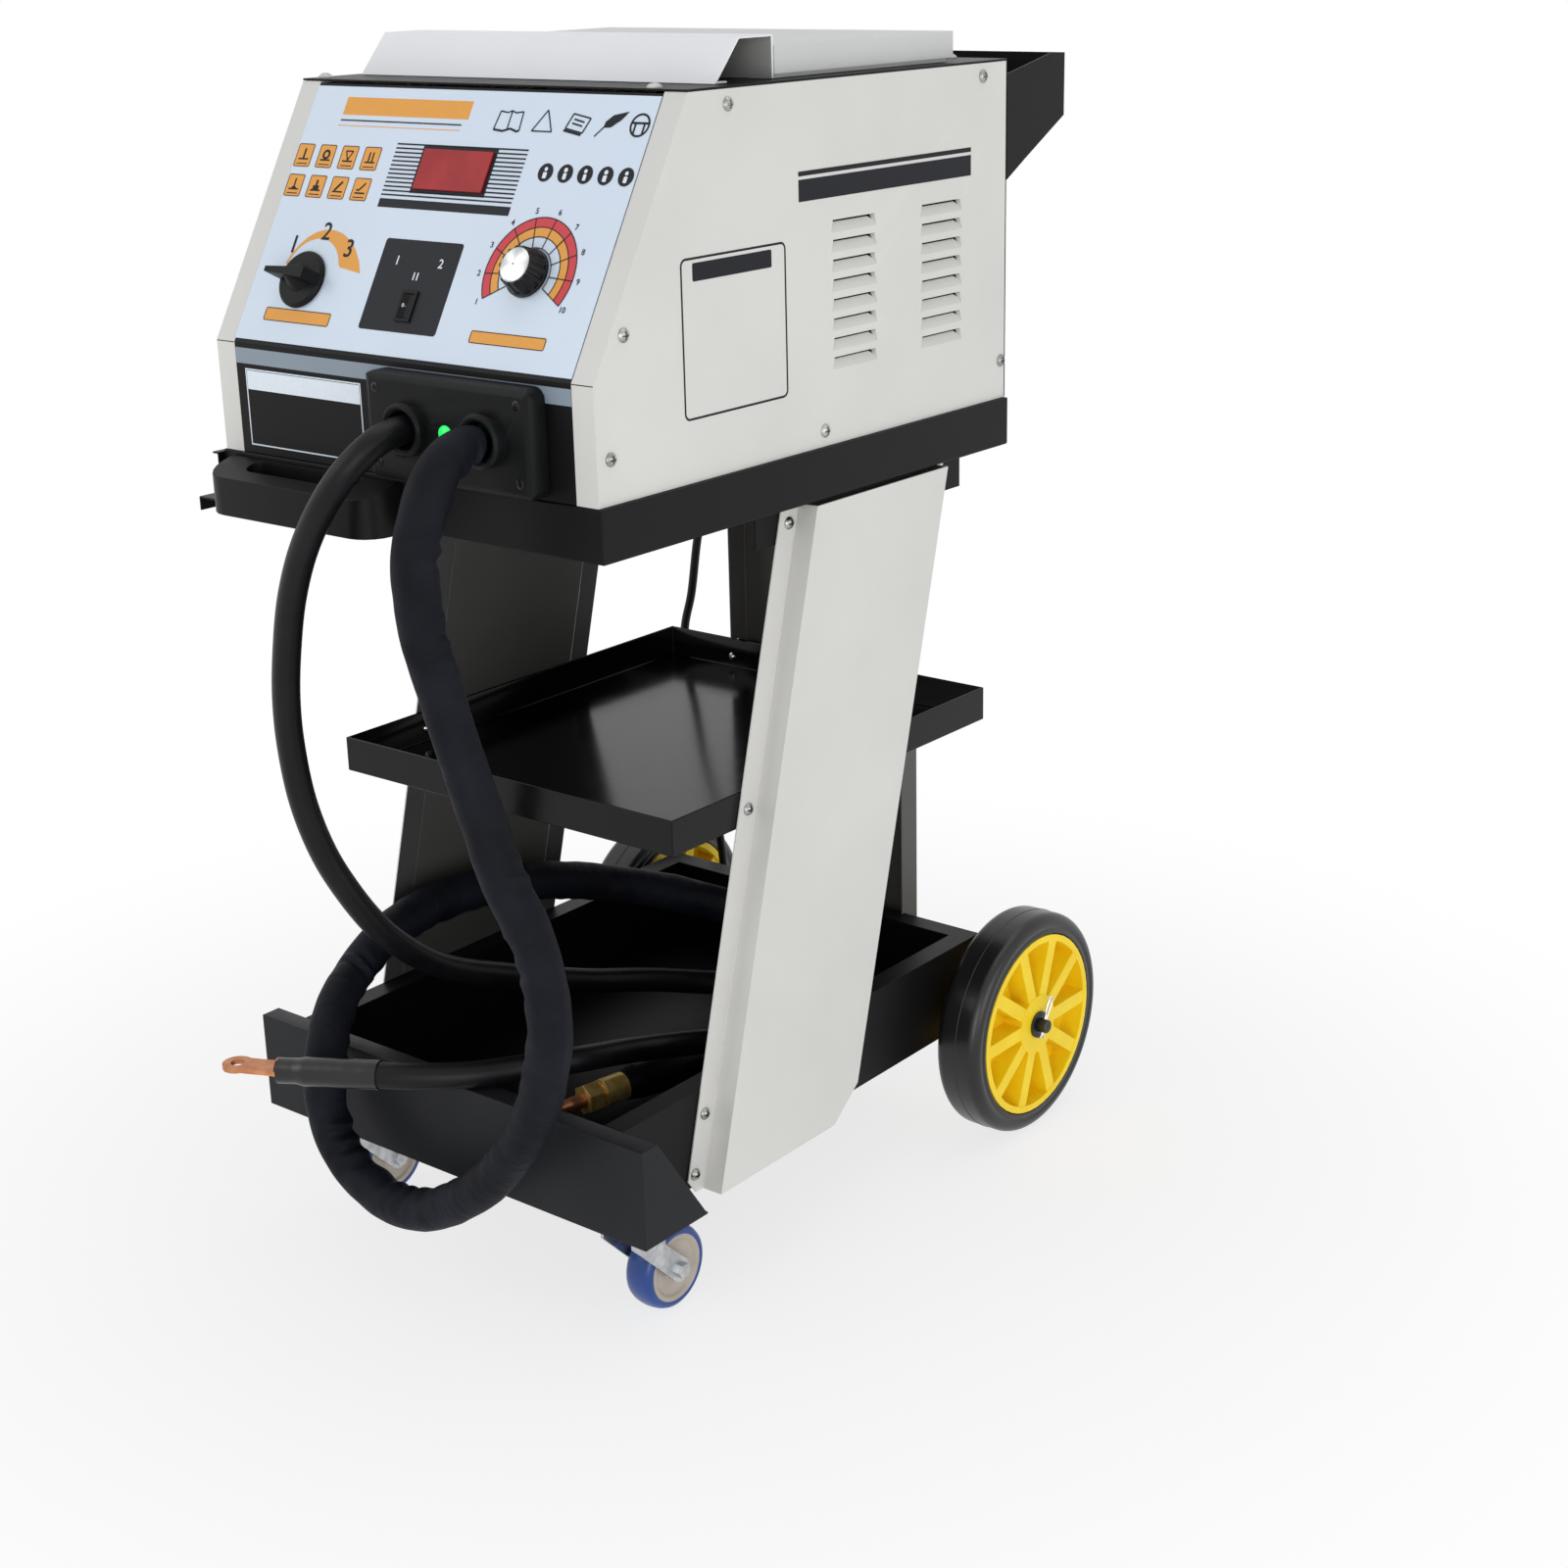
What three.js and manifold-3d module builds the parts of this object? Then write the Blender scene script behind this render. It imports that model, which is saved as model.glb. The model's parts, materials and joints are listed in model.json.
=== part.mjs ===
// Dent pulling spot welder standing on its cart. Millimetres, +Z up, front towards -Y.
import * as THREE from 'three';
import { mergeVertices } from 'three/addons/utils/BufferGeometryUtils.js';
import Module from 'manifold-3d';

const wasm = await Module();
wasm.setup();

// Driving dimensions
const GAP = 0.3;
const SHEET = 1.5;
const PLATE = 2;
const WELD = 0.5;
const CASE_WIDTH = 382.8;
const CASE_DEPTH = 493;
const CASE_HEIGHT = 266.1;
const KINK_HEIGHT = 83;
const SLANT_DEPTH = 106.6;
const TRAY_MARGIN = 3.3;
const FRAME_INSET = 19.2;
const TRAY_BOTTOM = 615.8;
const TRAY_HEIGHT = 38.4;
const TRAY_LIP = 0.8;
const SHELF_DROP = 240.3;
const SHELF_HEIGHT = 28.6;
const SHELF_FRONT = 79.9;
const SHELF_SETBACK = 4.3;
const CASTER_OVERHEAD = 27.3;
const BASE_HEIGHT = 81.3;
const BASE_SETBACK = 9.6;
const BAR_OVERHANG = 33.8;
const BAR_FRONT = -5.2;
const BAR_TOP_REAR = 12.2;
const BAR_BOTTOM_REAR = 66.4;
const WHEEL_RADIUS = 100;
const WHEEL_WIDTH = 42.4;
const WHEEL_BEHIND = 13.5;
const WHEEL_OUTSIDE = 32.8;
const RIM_RADIUS = 81.4;
const AXLE_RADIUS = 6;
const AXLE_OUTSIDE = 10.5;
const CASTER_INSET = 50.8;
const CASTER_Y = 36.3;
const CASTER_TRAIL = 34.9;
const CASTER_RADIUS = 35;
const CASTER_WIDTH = 26;
const LEG_LEAN_SHARE = 0.264;
const HANDLE_FRONT = -35.2;

// Derived places
const CASE_BOTTOM = TRAY_BOTTOM + TRAY_HEIGHT + GAP;
const CASE_TOP = CASE_BOTTOM + CASE_HEIGHT;
const KINK_Z = CASE_BOTTOM + KINK_HEIGHT;
const CASE_HALF = CASE_WIDTH / 2;
const TRAY_HALF = CASE_HALF + TRAY_MARGIN;
const FRAME_HALF = TRAY_HALF - FRAME_INSET;
const BAR_HALF = FRAME_HALF + BAR_OVERHANG;
const CASTER_X = BAR_HALF - CASTER_INSET;
const WHEEL_X = FRAME_HALF + WHEEL_OUTSIDE;
const AXLE_HALF = WHEEL_X + WHEEL_WIDTH / 2 + AXLE_OUTSIDE;
const TRAY_FRONT = -TRAY_LIP;
const TRAY_REAR = CASE_DEPTH;
const SLANT_RISE = CASE_TOP - KINK_Z;
const SLANT_LENGTH = Math.hypot(SLANT_DEPTH, SLANT_RISE);
const SLANT_ANGLE = Math.atan2(SLANT_DEPTH, SLANT_RISE);
const SHELF_BOTTOM = TRAY_BOTTOM - SHELF_DROP;
const SHELF_REAR = CASE_DEPTH - SHELF_SETBACK;
const BASE_BOTTOM = CASTER_RADIUS * 2 + CASTER_OVERHEAD;
const BASE_TOP = BASE_BOTTOM + BASE_HEIGHT;
const BASE_REAR = CASE_DEPTH - BASE_SETBACK;
const WHEEL_Y = BASE_REAR + WHEEL_BEHIND;
const TYRE_REAR = WHEEL_Y + WHEEL_RADIUS;
const MIDDLE_Y = (HANDLE_FRONT + TYRE_REAR) / 2;

// Shape tools
function solid(geometry) {
  const bare = geometry.clone();
  bare.deleteAttribute('normal');
  bare.deleteAttribute('uv');
  const merged = mergeVertices(bare);
  const vertProperties = new Float32Array(merged.getAttribute('position').array);
  const triVerts = new Uint32Array(merged.getIndex().array);
  return new wasm.Manifold(new wasm.Mesh({ numProp: 3, vertProperties, triVerts }));
}

function surface(body) {
  const mesh = body.getMesh();
  const geometry = new THREE.BufferGeometry();
  geometry.setAttribute('position', new THREE.BufferAttribute(new Float32Array(mesh.vertProperties), 3));
  geometry.setIndex(new THREE.BufferAttribute(new Uint32Array(mesh.triVerts), 1));
  geometry.computeVertexNormals();
  return geometry;
}

function join(geometries) {
  return surface(geometries.map(solid).reduce((sum, next) => sum.add(next)));
}

function cut(geometry, tools) {
  return surface(tools.map(solid).reduce((rest, tool) => rest.subtract(tool), solid(geometry)));
}

function overlap(first, second) {
  return surface(solid(first).intersect(solid(second)));
}

// Draws the end of a shape that lies below a Y in towards the Y axis
function drawnIn(geometry, below, share) {
  const position = geometry.getAttribute('position');
  for (let index = 0; index < position.count; index += 1) {
    if (position.getY(index) < below) {
      position.setX(index, position.getX(index) * share);
      position.setZ(index, position.getZ(index) * share);
    }
  }
  return geometry;
}

function cycled(geometry, turns) {
  const position = geometry.getAttribute('position');
  for (let index = 0; index < position.count; index += 1) {
    const from = [position.getX(index), position.getY(index), position.getZ(index)];
    const to = [from[(3 - turns) % 3], from[(4 - turns) % 3], from[(5 - turns) % 3]];
    position.setXYZ(index, to[0], to[1], to[2]);
  }
  geometry.computeVertexNormals();
  return geometry;
}

function flatShape(points) {
  return new THREE.Shape(points.map(([a, b]) => new THREE.Vector2(a, b)));
}

function prism(points, length) {
  return new THREE.ExtrudeGeometry(flatShape(points), { depth: length, bevelEnabled: false });
}

// Outline points are (y, z)
function alongX(points, x0, x1) {
  return cycled(prism(points, x1 - x0), 1).translate(x0, 0, 0);
}

// Outline points are (x, z)
function alongY(points, y0, y1) {
  return cycled(prism(points.map(([x, z]) => [z, x]), y1 - y0), 2).translate(0, y0, 0);
}

// Outline points are (x, y)
function alongZ(points, z0, z1) {
  return prism(points, z1 - z0).translate(0, 0, z0);
}

function box(x0, x1, y0, y1, z0, z1) {
  const geometry = new THREE.BoxGeometry(x1 - x0, y1 - y0, z1 - z0);
  return geometry.translate((x0 + x1) / 2, (y0 + y1) / 2, (z0 + z1) / 2);
}

function lathe(profile, steps) {
  return new THREE.LatheGeometry(profile.map(([r, a]) => new THREE.Vector2(r, a)), steps);
}

// Turned shape whose axis lies along X; profile points are (radius, x)
function turnedX(profile, steps, x, y, z) {
  return cycled(lathe(profile, steps), 2).translate(x, y, z);
}

// Turned shape whose axis stands along Z
function turnedZ(profile, steps, x, y, z) {
  return cycled(lathe(profile, steps), 1).translate(x, y, z);
}

// Turned shape whose axis lies along Y
function turnedY(profile, steps, x, y, z) {
  return lathe(profile, steps).translate(x, y, z);
}

function disc(radius, a0, a1) {
  return [[0, a0], [radius, a0], [radius, a1], [0, a1]];
}

function ring(inner, outer, a0, a1) {
  return [[inner, a0], [outer, a0], [outer, a1], [inner, a1], [inner, a0]];
}

function mirrored(geometry) {
  const copy = geometry.index ? geometry.toNonIndexed() : geometry.clone();
  const position = copy.getAttribute('position');
  for (let index = 0; index < position.count; index += 3) {
    const corners = [0, 2, 1].map((k) => [
      -position.getX(index + k), position.getY(index + k), position.getZ(index + k)]);
    corners.forEach((c, k) => position.setXYZ(index + k, c[0], c[1], c[2]));
  }
  copy.computeVertexNormals();
  return copy;
}

// Closed outline of a folded sheet whose one face follows the path
function folded(path, thickness) {
  const offset = path.map((point, index) => {
    const before = path[Math.max(index - 1, 0)];
    const after = path[Math.min(index + 1, path.length - 1)];
    const first = new THREE.Vector2(point[0] - before[0], point[1] - before[1]);
    const second = new THREE.Vector2(after[0] - point[0], after[1] - point[1]);
    if (index === 0) first.copy(second);
    if (index === path.length - 1) second.copy(first);
    first.normalize();
    second.normalize();
    const normal = new THREE.Vector2(-first.y - second.y, first.x + second.x).normalize();
    const reach = thickness / (normal.x * -first.y + normal.y * first.x);
    return [point[0] + normal.x * reach, point[1] + normal.y * reach];
  });
  return path.concat(offset.reverse());
}

function arcPoints(cx, cy, radius, start, end, steps) {
  return Array.from({ length: steps + 1 }, (_, k) => {
    const angle = start + ((end - start) * k) / steps;
    return [cx + radius * Math.cos(angle), cy + radius * Math.sin(angle)];
  });
}

// Point of the slanted panel: x across, s up the slope, out square to it
function onSlant(s, out) {
  return [
    s * Math.sin(SLANT_ANGLE) - out * Math.cos(SLANT_ANGLE),
    KINK_Z + s * Math.cos(SLANT_ANGLE) + out * Math.sin(SLANT_ANGLE)];
}

// Materials
function material(color, roughness, metalness) {
  return new THREE.MeshStandardMaterial({ color, roughness, metalness });
}
const whitePaint = () => material(0xd2d2ce, 0.45, 0);
const blackPaint = () => material(0x26272a, 0.5, 0);
const glossBlack = () => material(0x131313, 0.25, 0);
const bluePaint = () => material(0xd5e1ed, 0.4, 0);
const yellowPlastic = () => material(0xe6b80e, 0.45, 0);
const blackRubber = () => material(0x1a1a1a, 0.6, 0);
const steel = () => material(0xb0b2b4, 0.35, 1);
const copper = () => material(0xc98a6a, 0.35, 1);
const blackPlastic = () => material(0x1c1d20, 0.45, 0);

// Groups
const welder = new THREE.Group();
welder.name = 'dent_pulling_spot_welder';
const machine = new THREE.Group();
machine.name = 'machine';
machine.position.set(0, -MIDDLE_Y, 0);
welder.add(machine);

function addPiece(name, geometry, look, parent = machine) {
  const mesh = new THREE.Mesh(geometry, look);
  mesh.name = name;
  parent.add(mesh);
  return mesh;
}

// Front bar
const FLANGE = 19;
const barProfile = folded([
  [BAR_TOP_REAR, BASE_TOP],
  [BAR_FRONT, BASE_TOP],
  [BAR_FRONT, BASE_BOTTOM],
  [BAR_BOTTOM_REAR, BASE_BOTTOM]], PLATE);
const barEnd = [
  [BAR_FRONT, BASE_BOTTOM],
  [BAR_BOTTOM_REAR, BASE_BOTTOM],
  [BAR_TOP_REAR, BASE_TOP],
  [BAR_FRONT, BASE_TOP]];
addPiece('front_bar', join([
  alongX(barProfile, -BAR_HALF, BAR_HALF),
  alongX(barEnd, BAR_HALF - PLATE, BAR_HALF),
  alongX(barEnd, -BAR_HALF, -BAR_HALF + PLATE)]), blackPaint());

// Base tray with its axle lugs
const BASE_FLOOR = BASE_BOTTOM + PLATE + GAP;
const BASE_FRONT = BAR_FRONT + PLATE + GAP;
const RAIL_NOTCH_Z = BASE_TOP - PLATE - GAP;
const RAIL_NOTCH_Y = BAR_TOP_REAR + GAP;
const LUG_RADIUS = 14;
const LUG_THICK = 4;
const AXLE_PLAY = 0.3;
const railOutline = [
  [BASE_FRONT, BASE_FLOOR],
  [BASE_REAR, BASE_FLOOR],
  [BASE_REAR, BASE_TOP],
  [RAIL_NOTCH_Y, BASE_TOP],
  [RAIL_NOTCH_Y, RAIL_NOTCH_Z],
  [BASE_FRONT, RAIL_NOTCH_Z]];
const lugRight = join([
  box(FRAME_HALF - LUG_THICK, FRAME_HALF, BASE_REAR - WELD, WHEEL_Y,
    WHEEL_RADIUS - LUG_RADIUS, WHEEL_RADIUS + LUG_RADIUS),
  box(FRAME_HALF - LUG_THICK, FRAME_HALF, BASE_REAR - LUG_RADIUS, BASE_REAR,
    WHEEL_RADIUS - LUG_RADIUS, BASE_FLOOR + WELD),
  turnedX(disc(LUG_RADIUS, 0, LUG_THICK), 32, FRAME_HALF - LUG_THICK, WHEEL_Y, WHEEL_RADIUS)]);
addPiece('base_tray', cut(join([
  box(-FRAME_HALF, FRAME_HALF, BASE_FRONT, BASE_REAR, BASE_FLOOR, BASE_FLOOR + PLATE),
  alongX(railOutline, FRAME_HALF - PLATE, FRAME_HALF),
  alongX(railOutline, -FRAME_HALF, -FRAME_HALF + PLATE),
  box(FRAME_HALF - FLANGE, FRAME_HALF, RAIL_NOTCH_Y, BASE_REAR, BASE_TOP - PLATE, BASE_TOP),
  box(-FRAME_HALF, -FRAME_HALF + FLANGE, RAIL_NOTCH_Y, BASE_REAR, BASE_TOP - PLATE, BASE_TOP),
  box(-FRAME_HALF, FRAME_HALF, BASE_REAR - PLATE, BASE_REAR, BASE_FLOOR, BASE_TOP),
  box(-FRAME_HALF, FRAME_HALF, BASE_REAR - FLANGE, BASE_REAR, BASE_TOP - PLATE, BASE_TOP),
  lugRight,
  mirrored(lugRight)]), [
  turnedX(disc(AXLE_RADIUS + AXLE_PLAY, -AXLE_HALF, AXLE_HALF), 24, 0, WHEEL_Y, WHEEL_RADIUS)]),
blackPaint());

// Leg covers: white hat channels leaning back
const LEG_BOTTOM = 95;
const LEG_UNDER_TRAY = 3.3;
const LEG_TOP = TRAY_BOTTOM - LEG_UNDER_TRAY;
const LEG_FRONT_Y = 98.5;
const LEG_DEPTH_Y = 170.7;
const LEG_FLANGE = 20.3;
const LEG_THICK = 20;
const LEG_INNER = FRAME_HALF + GAP;
const LEG_OUTER = LEG_INNER + LEG_THICK;
const LEG_CLIP = 26;
const LEG_FLANGE_CLIP = 12;
const leanY = (z) => (z - LEG_BOTTOM) * LEG_LEAN_SHARE;
const legStrip = (front, rear, z0, z1) => [
  [front + leanY(z0), z0],
  [rear + leanY(z0), z0],
  [rear + leanY(z1), z1],
  [front + leanY(z1), z1]];
const LEG_REAR_Y = LEG_FRONT_Y + LEG_DEPTH_Y;
const legWeb = [
  [LEG_FRONT_Y, LEG_BOTTOM],
  [LEG_REAR_Y - LEG_CLIP, LEG_BOTTOM],
  [LEG_REAR_Y + leanY(LEG_BOTTOM + LEG_CLIP), LEG_BOTTOM + LEG_CLIP],
  [LEG_REAR_Y + leanY(LEG_TOP), LEG_TOP],
  [LEG_FRONT_Y + leanY(LEG_TOP), LEG_TOP]];
const FLANGE_FRONT = LEG_FRONT_Y - LEG_FLANGE;
const frontFlange = [
  [LEG_FRONT_Y + SHEET, LEG_BOTTOM],
  [LEG_FRONT_Y + SHEET + leanY(LEG_TOP), LEG_TOP],
  [FLANGE_FRONT + leanY(LEG_TOP), LEG_TOP],
  [FLANGE_FRONT + leanY(LEG_BOTTOM + LEG_FLANGE_CLIP), LEG_BOTTOM + LEG_FLANGE_CLIP],
  [FLANGE_FRONT + LEG_FLANGE_CLIP, LEG_BOTTOM]];
const REAR_FOLD_Z = LEG_BOTTOM + LEG_CLIP;
const legCoverRight = join([
  alongX(legWeb, LEG_OUTER - SHEET, LEG_OUTER),
  alongX(legStrip(LEG_FRONT_Y, LEG_FRONT_Y + SHEET, LEG_BOTTOM, LEG_TOP), LEG_INNER, LEG_OUTER),
  alongX(legStrip(LEG_REAR_Y - SHEET, LEG_REAR_Y, REAR_FOLD_Z, LEG_TOP), LEG_INNER, LEG_OUTER),
  alongX(frontFlange, LEG_INNER, LEG_INNER + SHEET),
  alongX(legStrip(LEG_REAR_Y - SHEET, LEG_REAR_Y + LEG_FLANGE, REAR_FOLD_Z, LEG_TOP),
    LEG_INNER, LEG_INNER + SHEET)]);
addPiece('leg_cover_right', legCoverRight, whitePaint());
addPiece('leg_cover_left', mirrored(legCoverRight), whitePaint());

// Leg posts: black channels inside the covers
const POST_FRONT = LEG_FRONT_Y + SHEET + GAP;
const POST_REAR = LEG_REAR_Y - SHEET - GAP;
const POST_OUTER = LEG_OUTER - SHEET - GAP;
const POST_BOTTOM = REAR_FOLD_Z + GAP;
const legPostRight = join([
  alongX(legStrip(POST_FRONT, POST_REAR, POST_BOTTOM, LEG_TOP), LEG_INNER, LEG_INNER + PLATE),
  alongX(legStrip(POST_FRONT, POST_FRONT + PLATE, POST_BOTTOM, LEG_TOP), LEG_INNER, POST_OUTER),
  alongX(legStrip(POST_REAR - PLATE, POST_REAR, POST_BOTTOM, LEG_TOP), LEG_INNER, POST_OUTER)]);
addPiece('leg_post_right', legPostRight, blackPaint());
addPiece('leg_post_left', mirrored(legPostRight), blackPaint());

// Middle shelf
const SHELF_TOP = SHELF_BOTTOM + SHELF_HEIGHT;
addPiece('middle_shelf', cut(
  box(-FRAME_HALF, FRAME_HALF, SHELF_FRONT, SHELF_REAR, SHELF_BOTTOM, SHELF_TOP), [
    box(-FRAME_HALF + PLATE, FRAME_HALF - PLATE, SHELF_FRONT + PLATE, SHELF_REAR - PLATE,
      SHELF_BOTTOM + PLATE, SHELF_TOP + PLATE)]), glossBlack());

// Top tray: deck with a skirt
const TRAY_TOP = TRAY_BOTTOM + TRAY_HEIGHT;
addPiece('top_tray', cut(
  box(-TRAY_HALF, TRAY_HALF, TRAY_FRONT, TRAY_REAR, TRAY_BOTTOM, TRAY_TOP), [
    box(-TRAY_HALF + PLATE, TRAY_HALF - PLATE, TRAY_FRONT + PLATE, TRAY_REAR - PLATE,
      TRAY_BOTTOM - PLATE, TRAY_TOP - PLATE)]), blackPaint());

// Sub-frame under the top tray
const HANGER_FRONT = 185.7;
const HANGER_SETBACK = 41.9;
const HANGER_DROP = 30;
const STRIP_DROP = 3.8;
const HANGER_REAR = CASE_DEPTH - HANGER_SETBACK;
const HANGER_BOTTOM = TRAY_BOTTOM - HANGER_DROP;
const STRIP_BOTTOM = TRAY_BOTTOM - STRIP_DROP;
const HANGER_TOP = TRAY_TOP - PLATE - GAP;
addPiece('tray_subframe', join([
  box(FRAME_HALF - PLATE, FRAME_HALF, HANGER_FRONT, HANGER_REAR, HANGER_BOTTOM, HANGER_TOP),
  box(-FRAME_HALF, -FRAME_HALF + PLATE, HANGER_FRONT, HANGER_REAR, HANGER_BOTTOM, HANGER_TOP),
  box(-FRAME_HALF, FRAME_HALF, HANGER_FRONT, HANGER_FRONT + PLATE, STRIP_BOTTOM, HANGER_TOP),
  box(-FRAME_HALF, FRAME_HALF, HANGER_REAR - PLATE, HANGER_REAR, STRIP_BOTTOM, HANGER_TOP)]),
blackPaint());

// Rear column: channel notched round base, shelf and tray
const COLUMN_HALF = 96;
const COLUMN_BEHIND = 8.3;
const COLUMN_DEPTH = 23.5;
const COLUMN_OVER_AXLE = 9;
const COLUMN_OVERLAP = 34.2;
const COLUMN_REAR = TRAY_REAR + COLUMN_BEHIND;
const COLUMN_FRONT = COLUMN_REAR - COLUMN_DEPTH;
const COLUMN_BOTTOM = WHEEL_RADIUS + AXLE_RADIUS + COLUMN_OVER_AXLE;
const COLUMN_TOP = TRAY_BOTTOM + COLUMN_OVERLAP;
const columnSide = [
  [BASE_REAR + GAP, COLUMN_BOTTOM],
  [COLUMN_REAR, COLUMN_BOTTOM],
  [COLUMN_REAR, COLUMN_TOP],
  [TRAY_REAR + GAP, COLUMN_TOP],
  [TRAY_REAR + GAP, TRAY_BOTTOM - GAP],
  [COLUMN_FRONT, TRAY_BOTTOM - GAP],
  [COLUMN_FRONT, SHELF_TOP + GAP],
  [SHELF_REAR + GAP, SHELF_TOP + GAP],
  [SHELF_REAR + GAP, SHELF_BOTTOM - GAP],
  [COLUMN_FRONT, SHELF_BOTTOM - GAP],
  [COLUMN_FRONT, BASE_TOP + GAP],
  [BASE_REAR + GAP, BASE_TOP + GAP]];
addPiece('rear_column', join([
  box(-COLUMN_HALF, COLUMN_HALF, COLUMN_REAR - SHEET, COLUMN_REAR, COLUMN_BOTTOM, COLUMN_TOP),
  alongX(columnSide, COLUMN_HALF - SHEET, COLUMN_HALF),
  alongX(columnSide, -COLUMN_HALF, -COLUMN_HALF + SHEET)]), blackPaint());

// Pull handle with its finger slot
const HANDLE_INSET = 12.7;
const HANDLE_LEFT = -TRAY_HALF + HANDLE_INSET;
const HANDLE_DROP = 2.8;
const HANDLE_UNDER_TOP = 3.2;
const HANDLE_NOSE_FALL = 9;
const HANDLE_BOTTOM = TRAY_BOTTOM - HANDLE_DROP;
const HANDLE_TOP = TRAY_TOP - HANDLE_UNDER_TOP;
const HANDLE_NOSE_TOP = HANDLE_TOP - HANDLE_NOSE_FALL;
const HANDLE_CORNER = 22;
const SLOT_LEFT = -150;
const SLOT_RIGHT = -32;
const SLOT_REAR = -4;
const SLOT_FRONT = -21.2;
const HANDLE_REAR = TRAY_FRONT - GAP;
const handlePlan = [
  ...arcPoints(HANDLE_LEFT + HANDLE_CORNER, HANDLE_FRONT + HANDLE_CORNER, HANDLE_CORNER,
    Math.PI, Math.PI * 1.5, 5),
  ...arcPoints(-HANDLE_CORNER, HANDLE_FRONT + HANDLE_CORNER, HANDLE_CORNER,
    Math.PI * 1.5, Math.PI * 2, 5),
  [0, HANDLE_REAR],
  [HANDLE_LEFT, HANDLE_REAR]];
const handleSide = [
  [HANDLE_FRONT, HANDLE_BOTTOM],
  [HANDLE_REAR, HANDLE_BOTTOM],
  [HANDLE_REAR, HANDLE_TOP],
  [SLOT_REAR, HANDLE_TOP],
  [HANDLE_FRONT, HANDLE_NOSE_TOP]];
const SLOT_HALF_DEPTH = (SLOT_REAR - SLOT_FRONT) / 2;
const SLOT_CENTRE_Y = (SLOT_REAR + SLOT_FRONT) / 2;
const slotPlan = [
  ...arcPoints(SLOT_LEFT + SLOT_HALF_DEPTH, SLOT_CENTRE_Y, SLOT_HALF_DEPTH,
    Math.PI * 0.5, Math.PI * 1.5, 8),
  ...arcPoints(SLOT_RIGHT - SLOT_HALF_DEPTH, SLOT_CENTRE_Y, SLOT_HALF_DEPTH,
    -Math.PI * 0.5, Math.PI * 0.5, 8)];
const handleBlock = solid(alongZ(handlePlan, HANDLE_BOTTOM, HANDLE_TOP))
  .intersect(solid(alongX(handleSide, HANDLE_LEFT, -HANDLE_LEFT)))
  .subtract(solid(alongZ(slotPlan, HANDLE_BOTTOM - PLATE, HANDLE_TOP + PLATE)));
addPiece('pull_handle', surface(handleBlock), blackPlastic());

// Thin side rail along the left of the top tray
const SIDE_RAIL_INNER = TRAY_HALF + GAP;
const SIDE_RAIL_TIP_REACH = 7;
const SIDE_RAIL_REACH = 27;
const SIDE_RAIL_HEIGHT = 39;
const SIDE_RAIL_TIP = SIDE_RAIL_INNER + SIDE_RAIL_TIP_REACH;
const SIDE_RAIL_OUTER = SIDE_RAIL_INNER + SIDE_RAIL_REACH;
const SIDE_RAIL_BASE = LEG_TOP + WELD;
const SIDE_RAIL_TOP = SIDE_RAIL_BASE + SIDE_RAIL_HEIGHT;
const SIDE_RAIL_LIP = 9.5;
const SIDE_RAIL_FRONT = -6;
const SIDE_RAIL_SETBACK = 89;
const SIDE_RAIL_REAR = CASE_DEPTH - SIDE_RAIL_SETBACK;
addPiece('tool_rail', alongY(folded([
  [-SIDE_RAIL_TIP, SIDE_RAIL_TOP],
  [-SIDE_RAIL_INNER, SIDE_RAIL_TOP],
  [-SIDE_RAIL_INNER, SIDE_RAIL_BASE],
  [-SIDE_RAIL_OUTER, SIDE_RAIL_BASE],
  [-SIDE_RAIL_OUTER, SIDE_RAIL_BASE - SIDE_RAIL_LIP]], -SHEET), SIDE_RAIL_FRONT, SIDE_RAIL_REAR),
blackPaint());

// Rear axle and washers
addPiece('axle', turnedX([
  [0, -AXLE_HALF],
  [AXLE_RADIUS - WELD, -AXLE_HALF],
  [AXLE_RADIUS, -AXLE_HALF + WELD],
  [AXLE_RADIUS, AXLE_HALF - WELD],
  [AXLE_RADIUS - WELD, AXLE_HALF],
  [0, AXLE_HALF]], 24, 0, WHEEL_Y, WHEEL_RADIUS), steel());
const WASHER_RADIUS = 12;
const washerRight = turnedX(
  ring(AXLE_RADIUS + AXLE_PLAY, WASHER_RADIUS, GAP, GAP + PLATE), 32,
  WHEEL_X + WHEEL_WIDTH / 2, WHEEL_Y, WHEEL_RADIUS);
addPiece('wheel_washer_right', washerRight, steel());
addPiece('wheel_washer_left', mirrored(washerRight), steel());

// Rear wheels: tyre on a spoked rim
const TYRE_SHOULDER = 9;
const HALF_WHEEL = WHEEL_WIDTH / 2;
const TYRE_INNER = RIM_RADIUS + GAP;
const tyreProfile = [
  [TYRE_INNER, -HALF_WHEEL],
  ...arcPoints(WHEEL_RADIUS - TYRE_SHOULDER, -HALF_WHEEL + TYRE_SHOULDER, TYRE_SHOULDER,
    -Math.PI / 2, 0, 3),
  ...arcPoints(WHEEL_RADIUS - TYRE_SHOULDER, HALF_WHEEL - TYRE_SHOULDER, TYRE_SHOULDER,
    0, Math.PI / 2, 3),
  [TYRE_INNER, HALF_WHEEL],
  [TYRE_INNER, -HALF_WHEEL]];
const tyreRight = turnedX(tyreProfile, 48, WHEEL_X, WHEEL_Y, WHEEL_RADIUS);
addPiece('wheel_tyre_right', tyreRight, blackRubber());
addPiece('wheel_tyre_left', mirrored(tyreRight), blackRubber());
const RIM_RING = 6;
const HUB_RADIUS = 27;
const HUB_BOSS_RADIUS = 15;
const WEB_HALF = 2;
const SPOKE_WIDTH = 12;
const SPOKE_TURN_SHARE = 0.5;
const SPOKE_COUNT = 10;
const BOSS_END = LEG_INNER - WHEEL_X + PLATE;
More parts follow.
